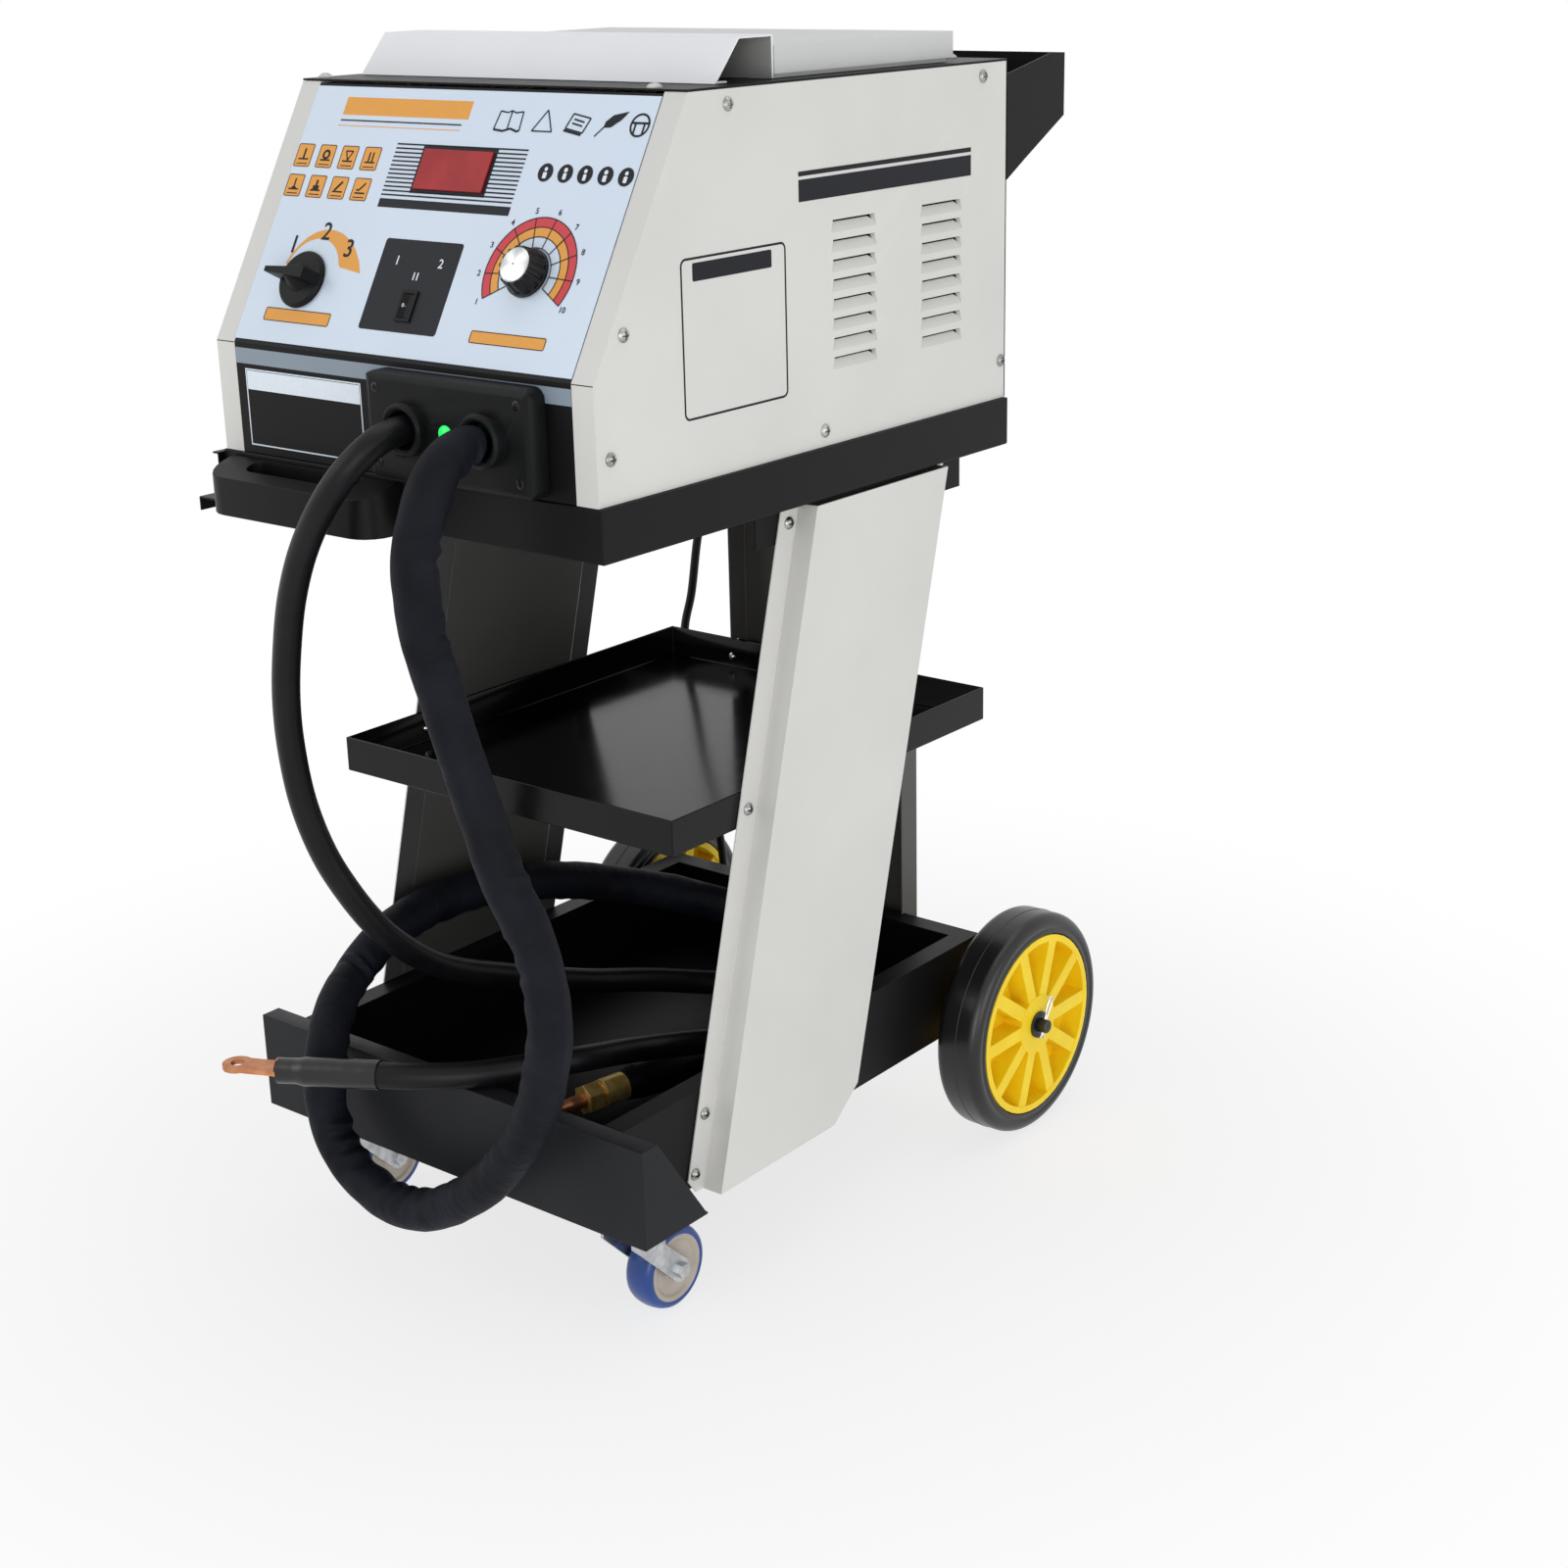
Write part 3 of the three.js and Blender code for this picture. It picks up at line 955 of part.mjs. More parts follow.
addPiece('selector_knob', cut(join([
  turnedY([
    [0, -KNOB_UNDER - SELECTOR_BASE],
    [SELECTOR_RADIUS - PLATE, -KNOB_UNDER - SELECTOR_BASE],
    [SELECTOR_RADIUS, -KNOB_UNDER - SELECTOR_BASE + PLATE],
    [SELECTOR_RADIUS, -KNOB_UNDER],
    [0, -KNOB_UNDER]], 48, 0, 0, 0),
  turnedY([
    [0, -KNOB_UNDER - HUB_TALL],
    [HUB_TOP, -KNOB_UNDER - HUB_TALL],
    [HUB_FOOT, -KNOB_UNDER - SELECTOR_BASE + WELD],
    [0, -KNOB_UNDER - SELECTOR_BASE + WELD]], 24, 0, 0, 0),
  overlap(
    alongY([
      [-POINTER_TIP, -POINTER_TIP_HALF],
      [POINTER_FOOT, -POINTER_TAIL_HALF],
      [POINTER_FOOT, POINTER_TAIL_HALF],
      [-POINTER_TIP, POINTER_TIP_HALF]], -KNOB_UNDER - SELECTOR_TALL, -KNOB_UNDER - PLATE),
    alongZ([
      [-POINTER_TIP, -KNOB_UNDER - SELECTOR_TALL],
      [POINTER_TAIL, -KNOB_UNDER - SELECTOR_TALL],
      [POINTER_FOOT, -KNOB_UNDER - SELECTOR_BASE],
      [POINTER_FOOT, -KNOB_UNDER - PLATE],
      [-POINTER_FOOT, -KNOB_UNDER - PLATE],
      [-POINTER_FOOT, -KNOB_UNDER - SELECTOR_BASE]], -SELECTOR_RADIUS, SELECTOR_RADIUS))]), [
  turnedY(disc(SHAFT_RADIUS + GAP, -SHAFT_OUT - GAP, 0), 20, 0, 0, 0)]),
blackPlastic(), selectorGroup);

// Timer control and its fluted knob
const CONTROL_BODY = 12;
const CONTROL_DEPTH = 12;
const timerGroup = panelGroup('timer_place', DIAL_PLACE[0], DIAL_PLACE[1]);
addPiece('timer_control', join([
  ...shaftStack(FACE_OUT),
  turnedY(disc(CONTROL_BODY, BODY_BACK, BODY_BACK + CONTROL_DEPTH), 28, 0, 0, 0)]),
steel(), timerGroup);
const TIMER_RADIUS = 17.5;
const TIMER_TALL = 15;
const TIMER_FLUTE = 1.5;
const TIMER_TOP_SHARE = 0.82;
const FLUTES = 14;
const SKIRT_RADIUS = 18;
const SKIRT_TALL = 3;
const CAP_RADIUS = 12.4;
const CAP_RISE = 1.6;
const CAP_SHARE = 0.6;
const flutedOutline = Array.from({ length: FLUTES * 4 }, (_, k) => {
  const angle = (k * Math.PI * 2) / (FLUTES * 4);
  const radius = TIMER_RADIUS - (k % 4 < 2 ? 0 : TIMER_FLUTE);
  return [radius * Math.cos(angle), radius * Math.sin(angle)];
});
addPiece('timer_knob', cut(join([
  turnedY(disc(SKIRT_RADIUS, -KNOB_UNDER - SKIRT_TALL, -KNOB_UNDER), 40, 0, 0, 0),
  drawnIn(alongY(flutedOutline, -KNOB_UNDER - TIMER_TALL, -KNOB_UNDER - WELD),
    -KNOB_UNDER - TIMER_TALL / 2, TIMER_TOP_SHARE),
  turnedY([
    [0, -KNOB_UNDER - TIMER_TALL - CAP_RISE],
    [CAP_RADIUS * CAP_SHARE, -KNOB_UNDER - TIMER_TALL - CAP_RISE * DOME_SHARE],
    [CAP_RADIUS, -KNOB_UNDER - TIMER_TALL],
    [CAP_RADIUS, -KNOB_UNDER - TIMER_TALL + WELD],
    [0, -KNOB_UNDER - TIMER_TALL + WELD]], 36, 0, 0, 0)]), [
  turnedY(disc(SHAFT_RADIUS + GAP, -SHAFT_OUT - GAP, 0), 20, 0, 0, 0)]),
blackPlastic(), timerGroup);

// Rocker switch: housing and key
const ROCKER_DEPTH = 22;
const rockerHalfX = (ROCKER_X[1] - ROCKER_X[0]) / 2;
const rockerHalfS = (ROCKER_S[1] - ROCKER_S[0]) / 2;
const rockerGroup = panelGroup('rocker_place', (ROCKER_X[0] + ROCKER_X[1]) / 2,
  (ROCKER_S[0] + ROCKER_S[1]) / 2);
const KEY_HALF_X = rockerHalfX - ROCKER_BEZEL - WELD;
const KEY_HALF_S = rockerHalfS - ROCKER_BEZEL - WELD;
const KEY_WELL = 8;
const KEY_TILT = 9;
const keyTurn = (KEY_TILT * Math.PI) / 180;
addPiece('rocker_housing', cut(join([
  box(-rockerHalfX, rockerHalfX, -FACE_OUT - SHEET, -FACE_OUT, -rockerHalfS, rockerHalfS),
  box(-rockerHalfX + ROCKER_BEZEL + GAP, rockerHalfX - ROCKER_BEZEL - GAP, -FACE_OUT - WELD,
    ROCKER_DEPTH, -rockerHalfS + ROCKER_BEZEL + GAP, rockerHalfS - ROCKER_BEZEL - GAP)]), [
  box(-KEY_HALF_X, KEY_HALF_X, -FACE_OUT - PLATE, KEY_WELL, -KEY_HALF_S, KEY_HALF_S)]),
blackPlastic(), rockerGroup);
const KEY_SINK = 1.8;
addPiece('rocker_key', alongZ([
  [-KEY_HALF_X + GAP * 2, KEY_SINK],
  [-KEY_HALF_X + GAP * 2, -FACE_OUT - SHEET],
  [0, -FACE_OUT - WELD],
  [KEY_HALF_X - GAP * 2, -FACE_OUT - SHEET],
  [KEY_HALF_X - GAP * 2, KEY_SINK]].map(([x, y]) => [
  x * Math.cos(keyTurn) - y * Math.sin(keyTurn),
  x * Math.sin(keyTurn) + y * Math.cos(keyTurn)]).reverse(),
-KEY_HALF_S + GAP, KEY_HALF_S - GAP), blackPlastic(), rockerGroup);

// Transformer inside the case: core, primary winding, copper secondary
const CORE_X = [-70, 90];
const CORE_SETBACK = 263;
const CORE_HALF_DEPTH = 40;
const CORE_MIDDLE_Y = CASE_DEPTH - CORE_SETBACK;
const CORE_Y = [CORE_MIDDLE_Y - CORE_HALF_DEPTH, CORE_MIDDLE_Y + CORE_HALF_DEPTH];
const CORE_HEIGHT = 150;
const CORE_LIMB = 32;
const FLOOR_TOP = CASE_BOTTOM + GAP + SHEET + GAP;
const coreMiddleX = (CORE_X[0] + CORE_X[1]) / 2;
const windowLeft = [CORE_X[0] + CORE_LIMB / 2 + SHEET * 2, coreMiddleX - CORE_LIMB / 2];
const windowRight = [coreMiddleX + CORE_LIMB / 2, CORE_X[1] - CORE_LIMB / 2 - SHEET * 2];
const CORE_YOKE = 22;
const coreTop = FLOOR_TOP + CORE_HEIGHT;
addPiece('transformer_core', cut(
  box(CORE_X[0], CORE_X[1], CORE_Y[0], CORE_Y[1], FLOOR_TOP, coreTop),
  [windowLeft, windowRight].map(([a, b]) => box(a, b, CORE_Y[0] - PLATE, CORE_Y[1] + PLATE,
    FLOOR_TOP + CORE_YOKE, coreTop - CORE_YOKE))), material(0x5a5c60, 0.5, 1));
const WINDING = 14;
const WINDING_PLAY = 1;
const windingRing = (inner, z0, z1) => cut(
  box(coreMiddleX - CORE_LIMB / 2 - inner - WINDING, coreMiddleX + CORE_LIMB / 2 + inner + WINDING,
    CORE_Y[0] - inner - WINDING, CORE_Y[1] + inner + WINDING, z0, z1), [
    box(coreMiddleX - CORE_LIMB / 2 - inner, coreMiddleX + CORE_LIMB / 2 + inner,
      CORE_Y[0] - inner, CORE_Y[1] + inner, z0 - PLATE, z1 + PLATE)]);
const WINDING_SPLIT_SHARE = 0.55;
const windingLow = FLOOR_TOP + CORE_YOKE + GAP;
const windingHigh = coreTop - CORE_YOKE - GAP;
const windingSplit = windingLow + (windingHigh - windingLow) * WINDING_SPLIT_SHARE;
addPiece('primary_winding', windingRing(WINDING_PLAY, windingLow, windingSplit - GAP),
  material(0x9a5a30, 0.5, 0));
const BUS_HALF = 12;
const BUS_REACH = 60;
const BUS_THICK = 6;
addPiece('secondary_winding', join([
  windingRing(WINDING_PLAY, windingSplit, windingHigh),
  box(coreMiddleX - BUS_HALF, coreMiddleX + BUS_HALF, CORE_Y[0] - WINDING - BUS_REACH,
    CORE_Y[0] - WINDING, windingHigh - BUS_THICK, windingHigh)]), copper());

// Control board on the floor, thyristor on its heat sink
const BOARD_INSET = 19.6;
const BOARD_WIDTH = 75;
const BOARD_X = [-FLOOR_HALF + BOARD_INSET, -FLOOR_HALF + BOARD_INSET + BOARD_WIDTH];
const BOARD_SETBACK = 123;
const BOARD_HALF_DEPTH = 70;
const BOARD_MIDDLE_Y = CASE_DEPTH - BOARD_SETBACK;
const BOARD_Y = [BOARD_MIDDLE_Y - BOARD_HALF_DEPTH, BOARD_MIDDLE_Y + BOARD_HALF_DEPTH];
const BOARD_STANDOFF = 10;
const BOARD_THICK = 1.6;
const STANDOFF_RADIUS = 4;
const boardCorners = [0, 1].flatMap((i) => [0, 1].map((j) => [
  BOARD_X[i] + (i ? -STANDOFF_RADIUS : STANDOFF_RADIUS) * 2,
  BOARD_Y[j] + (j ? -STANDOFF_RADIUS : STANDOFF_RADIUS) * 2]));
const CHIP_TALL = 18;
addPiece('control_board', join([
  box(BOARD_X[0], BOARD_X[1], BOARD_Y[0], BOARD_Y[1], FLOOR_TOP + BOARD_STANDOFF,
    FLOOR_TOP + BOARD_STANDOFF + BOARD_THICK),
  box(BOARD_X[0] + CHIP_TALL, BOARD_X[1] - CHIP_TALL, BOARD_Y[0] + CHIP_TALL, BOARD_Y[0] + CHIP_TALL * 3,
    FLOOR_TOP + BOARD_STANDOFF + BOARD_THICK - WELD, FLOOR_TOP + BOARD_STANDOFF + CHIP_TALL),
  ...boardCorners.map(([x, y]) => turnedZ(
    disc(STANDOFF_RADIUS, FLOOR_TOP, FLOOR_TOP + BOARD_STANDOFF + WELD), 16, x, y, 0))]),
material(0x1f6b3c, 0.5, 0));
const SINK_INSET = 19.6;
const SINK_WIDTH = 60;
const SINK_X = [FLOOR_HALF - SINK_INSET - SINK_WIDTH, FLOOR_HALF - SINK_INSET];
const SINK_SETBACK = 73;
const SINK_DEPTH = 120;
const SINK_REAR = CASE_DEPTH - SINK_SETBACK;
const SINK_Y = [SINK_REAR - SINK_DEPTH, SINK_REAR];
const SINK_TALL = 70;
const SINK_BASE = 8;
const FIN_THICK = 2.5;
const FIN_COUNT = 7;
const PUCK_RADIUS = 18;
const PUCK_TALL = 16;
const PUCK_PLACE_SHARE = 1.2;
const FIN_START_SHARE = 2.6;
const finPitch = (SINK_X[1] - SINK_X[0] - FIN_THICK) / (FIN_COUNT - 1);
addPiece('thyristor_heatsink', join([
  box(SINK_X[0], SINK_X[1], SINK_Y[0], SINK_Y[1], FLOOR_TOP, FLOOR_TOP + SINK_BASE),
  turnedZ(disc(PUCK_RADIUS, FLOOR_TOP + SINK_BASE - WELD, FLOOR_TOP + SINK_BASE + PUCK_TALL), 24,
    (SINK_X[0] + SINK_X[1]) / 2, SINK_Y[0] + PUCK_RADIUS * PUCK_PLACE_SHARE, 0),
  ...Array.from({ length: FIN_COUNT }, (_, k) => box(
    SINK_X[0] + k * finPitch, SINK_X[0] + k * finPitch + FIN_THICK,
    SINK_Y[0] + PUCK_RADIUS * FIN_START_SHARE, SINK_Y[1],
    FLOOR_TOP + SINK_BASE - WELD, FLOOR_TOP + SINK_TALL))]),
material(0xa9adb0, 0.4, 1));

// Cords: tubes along hand-chosen points, drawn for the sizes below and stretched with the cart
const DRAWN_HALF = 175.5;
const DRAWN_DEPTH = 493;
const DRAWN_BASE = 97.3;
const DRAWN_PILE = 160;
const DRAWN_BAR = 178.6;
const DRAWN_BEND = 250;
const DRAWN_GLAND = 695;
const DRAWN_COLLAR = 25;
const heightMarks = [
  [0, 0],
  [DRAWN_BASE, BASE_BOTTOM],
  [DRAWN_PILE, BASE_BOTTOM + DRAWN_PILE - DRAWN_BASE],
  [DRAWN_BAR, BASE_TOP],
  [DRAWN_BEND, BASE_TOP + DRAWN_BEND - DRAWN_BAR],
  [DRAWN_GLAND, GLAND_Z]];
const raised = (z) => {
  const next = Math.max(heightMarks.findIndex(([drawn]) => z <= drawn), 1);
  const [[z0, to0], [z1, to1]] = [heightMarks[next - 1], heightMarks[next]];
  return to0 + ((z - z0) * (to1 - to0)) / (z1 - z0);
};
const fitted = ([x, y, z]) => [
  (x * FRAME_HALF) / DRAWN_HALF, y > 0 ? (y * CASE_DEPTH) / DRAWN_DEPTH : y, raised(z)];
function cordCurve(points) {
  return new THREE.CatmullRomCurve3(points.map(([x, y, z]) => new THREE.Vector3(x, y, z)), false,
    'centripetal');
}

function tube(points, radius, sides, steps) {
  const shape = new THREE.Shape(Array.from({ length: sides }, (_, k) => {
    const angle = (k * Math.PI * 2) / sides;
    return new THREE.Vector2(radius * Math.cos(angle), radius * Math.sin(angle));
  }));
  return new THREE.ExtrudeGeometry(shape, {
    steps, bevelEnabled: false, extrudePath: cordCurve(points) });
}

// Ground cable: hangs in front, lies on the base tray, ends at its ring lug
const GROUND_RADIUS = 10.5;
const outOfGland = (place, points) => points.map(([x, y, z]) => [
  GLAND_PLACES[place] + x,
  y > -DRAWN_COLLAR ? y : y + DRAWN_COLLAR - BOX_DEPTH - COLLAR_REACH,
  GLAND_Z + z]);
const groundPoints = [
  ...outOfGland(0, [[0, -0.5, 0], [0, -25, 0], [-0.5, -46, -4], [-11.5, -64, -21]]), ...[
    [-4, -71, 647], [-29, -71, 612], [-50, -68, 573], [-65, -64, 533], [-76, -60, 492],
    [-83, -54, 451], [-84, -46, 402], [-80, -34, 359], [-74, -21, 328], [-68, -1, 294],
    [-65, 24, 266], [-64, 64, 235], [-58, 134, 203], [-40, 209, 176], [-20, 268, 161],
    [15, 316, 150], [60, 345, 152], [110, 345, 153], [143, 310, 153], [141, 262, 153],
    [115, 232, 153], [88, 205, 155], [77, 176, 160], [74, 130, 172], [71, 65, 187],
    [52, 30, 189.4], [30, 0, 189.4], [-5, -28, 189.2], [-47, -50, 188], [-83, -66, 186]].map(fitted)];
addPiece('ground_cable', tube(groundPoints, GROUND_RADIUS, 10, 64), blackRubber());

// Ring lug at the end of the ground cable, flat on its side
const LUG_BARREL = 9;
const LUG_BARREL_LENGTH = 26;
const LUG_TONGUE = 4;
const LUG_RING = 12;
const LUG_HOLE = 5.5;
const LUG_TONGUE_LENGTH = 34;
const groundEnd = groundPoints[groundPoints.length - 1];
const groundBefore = groundPoints[groundPoints.length - 2];
const lugGroup = new THREE.Group();
lugGroup.name = 'ground_lug_place';
lugGroup.position.set(...groundEnd);
lugGroup.rotation.z = Math.atan2(groundEnd[1] - groundBefore[1], groundEnd[0] - groundBefore[0]);
machine.add(lugGroup);
addPiece('ground_lug', cut(join([
  turnedX(disc(LUG_BARREL, GAP * 2, LUG_BARREL_LENGTH), 28, 0, 0, 0),
  box(LUG_BARREL_LENGTH - PLATE, LUG_BARREL_LENGTH + LUG_TONGUE_LENGTH,
    -LUG_RING + PLATE, LUG_RING - PLATE, -LUG_TONGUE / 2, LUG_TONGUE / 2),
  turnedZ(disc(LUG_RING, -LUG_TONGUE / 2, LUG_TONGUE / 2), 32,
    LUG_BARREL_LENGTH + LUG_TONGUE_LENGTH, 0, 0)]), [
  turnedZ(disc(LUG_HOLE, -LUG_RING, LUG_RING), 24, LUG_BARREL_LENGTH + LUG_TONGUE_LENGTH, 0, 0)]),
copper(), lugGroup);

// Welding cable in its fabric sleeve
const SLEEVE_RADIUS = 16.5;
const gunPoints = [
  ...outOfGland(1, [[0, -26, 0], [0, -34, 0], [1, -52, -5.5], [0, -66, -19.5]]), ...[
    [98.5, -74.5, 652], [91, -77, 625], [86, -72, 594], [87, -68, 558], [94, -64, 523],
    [106, -61, 481], [119, -58, 440], [137, -56, 391], [156, -54, 358], [167, -53, 323],
    [168, -52, 277], [155, -51, 227], [135, -50, 189], [99, -48, 144], [58, -46, 110],
    [9, -43, 84], [-34, -41, 81], [-72, -38, 93], [-96, -36, 119], [-105, -33, 152],
    [-108, -25, 184], [-121, 0, 208], [-139, 38, 220], [-144, 74, 236], [-147, 124, 244],
    [-144, 179, 244], [-126, 254, 234], [-110, 319, 214], [-72, 380, 190], [-30, 425, 164],
    [20, 440, 142], [62, 420, 128], [80, 374, 122], [78, 318, 121], [66, 268, 121],
    [60, 240, 121]].map(fitted)];
addPiece('gun_cable', tube(gunPoints, SLEEVE_RADIUS, 10, 60), material(0x202125, 0.9, 0));

// Torch: handle, brass chuck, copper tip; lies on the pan, axis along its group's -Y
const GUN_END = gunPoints[gunPoints.length - 1];
const GUN_BEFORE = gunPoints[gunPoints.length - 2];
const GUN_HANDLE_RADIUS = 17;
const GUN_HANDLE_LENGTH = 84;
const GUN_NECK = 12;
const gunGroup = new THREE.Group();
gunGroup.name = 'gun_place';
gunGroup.position.set(...GUN_END);
gunGroup.rotation.z = Math.atan2(GUN_END[1] - GUN_BEFORE[1], GUN_END[0] - GUN_BEFORE[0]) + Math.PI / 2;
machine.add(gunGroup);
addPiece('gun_handle', turnedY([
  [0, -GUN_HANDLE_LENGTH],
  [GUN_NECK, -GUN_HANDLE_LENGTH],
  [GUN_HANDLE_RADIUS - PLATE, -GUN_HANDLE_LENGTH + GUN_NECK],
  [GUN_HANDLE_RADIUS, -GUN_HANDLE_LENGTH / 2],
  [GUN_HANDLE_RADIUS - PLATE, -GUN_NECK],
  [GUN_NECK, -GAP],
  [0, -GAP]], 32, 0, 0, 0), blackPlastic(), gunGroup);
const CHUCK_START = GUN_HANDLE_LENGTH + GAP;
const CHUCK_RADIUS = 12;
const CHUCK_SLIM = 9;
const CHUCK_STEP = 22;
const CHUCK_LENGTH = 40;
const CHUCK_HEX = 13;
addPiece('gun_chuck', join([
  turnedY(disc(CHUCK_RADIUS, -CHUCK_START - CHUCK_STEP, -CHUCK_START), 28, 0, 0, 0),
  turnedY(disc(CHUCK_SLIM, -CHUCK_START - CHUCK_LENGTH, -CHUCK_START - WELD), 28, 0, 0, 0),
  turnedY(disc(CHUCK_HEX, -CHUCK_START - CHUCK_LENGTH, -CHUCK_START - CHUCK_STEP - PLATE * 2), 6,
    0, 0, 0)]), material(0xb08d4a, 0.35, 1), gunGroup);
const TIP_START = CHUCK_START + CHUCK_LENGTH + GAP;
const TIP_RADIUS = 6;
const TIP_POINT = 2.5;
const TIP_LENGTH = 27;
addPiece('gun_tip', turnedY([
  [0, -TIP_START - TIP_LENGTH],
  [TIP_POINT, -TIP_START - TIP_LENGTH],
  [TIP_RADIUS, -TIP_START - TIP_LENGTH / 2],
  [TIP_RADIUS, -TIP_START],
  [0, -TIP_START]], 24, 0, 0, 0), copper(), gunGroup);

// Mains gland on the rear panel
const GLAND_NUT = 12;
const GLAND_REACH = 14;
const MAINS_RADIUS = 4;
const GLAND_BORE = MAINS_RADIUS + GAP;
addPiece('mains_gland', join([
  turnedY(ring(GLAND_BORE, GLAND_THREAD, CASE_DEPTH - PLATE * 2, CASE_DEPTH + GLAND_REACH / 2), 20,
    MAINS_X, 0, MAINS_Z),
  turnedY([
    [GLAND_BORE, CASE_DEPTH + GAP],
    [GLAND_NUT, CASE_DEPTH + GAP],
    [GLAND_NUT, CASE_DEPTH + GLAND_REACH - PLATE * 2],
    [GLAND_THREAD, CASE_DEPTH + GLAND_REACH],
    [GLAND_BORE, CASE_DEPTH + GLAND_REACH],
    [GLAND_BORE, CASE_DEPTH + GAP]], 20, MAINS_X, 0, MAINS_Z)]), blackPlastic());

// Coil of the mains cord on the floor: two layers, spirals in below, climbs inside, spirals out above
const COIL_INSIDE = 83.5;
const COIL_X = -FRAME_HALF + COIL_INSIDE;
const COIL_BEHIND = 33;
const COIL_Y = CASE_DEPTH + COIL_BEHIND;
const COIL_INNER = 31;
const COIL_TURNS_IN_LAYER = 3;
const COIL_SPARE = 0.6;
const COIL_DIP = 3;
const COIL_PITCH = MAINS_RADIUS * 2 + COIL_SPARE;
const COIL_STEPS = 24;
const COIL_LIFT = MAINS_RADIUS + GAP;
const COIL_OUTER = COIL_INNER + COIL_TURNS_IN_LAYER * COIL_PITCH;
const TAIL_LENGTH = MAINS_RADIUS * 3;
const coilPoints = (() => {
  const points = [];
  const layerSteps = COIL_TURNS_IN_LAYER * COIL_STEPS;
  const halfTurn = COIL_STEPS / 2;
  const turn = (Math.PI * 2) / COIL_STEPS;
  let angle = -Math.PI / 2;
  const push = (radius, z) => {
    points.push([COIL_X + radius * Math.cos(angle), COIL_Y + radius * Math.sin(angle), z]);
    angle += turn;
  };
  for (let k = 0; k <= layerSteps; k += 1) {
    push(COIL_OUTER - (COIL_PITCH * k) / COIL_STEPS, COIL_LIFT);
  }
  for (let k = 1; k < halfTurn; k += 1) {
    push(COIL_INNER - COIL_DIP * Math.sin((Math.PI * k) / halfTurn),
      COIL_LIFT + (COIL_PITCH * k) / halfTurn);
  }
  for (let k = 0; k <= layerSteps; k += 1) {
    push(COIL_INNER + (COIL_PITCH * k) / COIL_STEPS, COIL_LIFT + COIL_PITCH);
  }
  return points;
})();
const coilStart = coilPoints[0];
const coilEnd = coilPoints[coilPoints.length - 1];
const coilStartTail = [coilStart[0] - TAIL_LENGTH, coilStart[1], coilStart[2]];
const coilEndTail = [coilEnd[0] - TAIL_LENGTH, coilEnd[1], coilEnd[2]];
const coilPath = [coilStartTail, ...coilPoints, coilEndTail];
const coilGap = coilPath.reduce((least, p, i) => Math.min(least, ...coilPath.slice(i + COIL_STEPS / 2)
  .map((q) => Math.hypot(p[0] - q[0], p[1] - q[1], p[2] - q[2]) - MAINS_RADIUS * 2)), COIL_OUTER);
console.log(`least gap of the coil to itself ${coilGap.toFixed(3)} mm`);
addPiece('cord_coil', tube(coilPath, MAINS_RADIUS, 6, coilPath.length - 1), blackRubber());

// Mains cord: out of the gland, down beside the column and the wheel to its coil
const CORD_START_Y = CASE_DEPTH + GLAND_REACH / 2;
const CORD_STRAIGHT = 12;
const behindCase = [
  [-155, 27, 530], [-160, 18, 485], [-167, 15, 433], [-178, 16, 394], [-181, 24, 330],
  [-177, 37, 262], [-170, 47, 190], [-166, 49, 120], [-167, 37, 62], [-166, 12, 24], [-152, -13, 8]];
const mainsPoints = [
  [MAINS_X, CORD_START_Y, MAINS_Z],
  [MAINS_X, CORD_START_Y + CORD_STRAIGHT / 2, MAINS_Z],
  [MAINS_X, CORD_START_Y + CORD_STRAIGHT, MAINS_Z],
  ...[[-1, 37, -10], [-2, 47, -40], [-5, 42, -100]].map(([x, y, z]) => [
    MAINS_X + x, CASE_DEPTH + y, MAINS_Z + z]),
  ...behindCase.map(([x, y, z]) => [(x * FRAME_HALF) / DRAWN_HALF, CASE_DEPTH + y, raised(z)]),
  [coilStartTail[0] - GAP - CORD_STRAIGHT, coilStart[1], COIL_LIFT],
  [coilStartTail[0] - GAP, coilStart[1], COIL_LIFT]];
addPiece('mains_cord', tube(mainsPoints, MAINS_RADIUS, 8, 60), blackRubber());

// Mains plug at the end of the coil
const PLUG_LENGTH = 34;
const PLUG_RADIUS = 12;
const PIN_RADIUS = 2.4;
const PIN_LENGTH = 19;
const PIN_SPREAD = 9.5;
const BOOT_LENGTH = 16;
const plugGroup = new THREE.Group();
plugGroup.name = 'plug_place';
plugGroup.position.set(...coilEndTail);
plugGroup.rotation.z = Math.PI / 2;
machine.add(plugGroup);
addPiece('mains_plug', join([
  turnedY([
    [0, GAP],
    [MAINS_RADIUS + PLATE, GAP],
    [MAINS_RADIUS + PLATE * 2, BOOT_LENGTH],
    [PLUG_RADIUS, BOOT_LENGTH + PLATE * 2],
    [PLUG_RADIUS, BOOT_LENGTH + PLUG_LENGTH - PLATE],
    [PLUG_RADIUS - PLATE, BOOT_LENGTH + PLUG_LENGTH],
    [0, BOOT_LENGTH + PLUG_LENGTH]], 28, 0, 0, 0),
  ...[-PIN_SPREAD, PIN_SPREAD].map((x) => turnedY([
    [0, BOOT_LENGTH + PLUG_LENGTH - WELD],
    [PIN_RADIUS, BOOT_LENGTH + PLUG_LENGTH - WELD],
    [PIN_RADIUS, BOOT_LENGTH + PLUG_LENGTH + PIN_LENGTH - PLATE],
    [0, BOOT_LENGTH + PLUG_LENGTH + PIN_LENGTH]], 12, x, 0, 0))]), blackPlastic(), plugGroup);

export default welder;
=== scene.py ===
"""Looks of the dent pulling spot welder on its cart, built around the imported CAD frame.

Lengths are in millimetres in the machine's frame: X to the right, Y backwards from the case's lower front,
Z up from the floor. place() turns them into the frame's metres.
"""

import json
import math

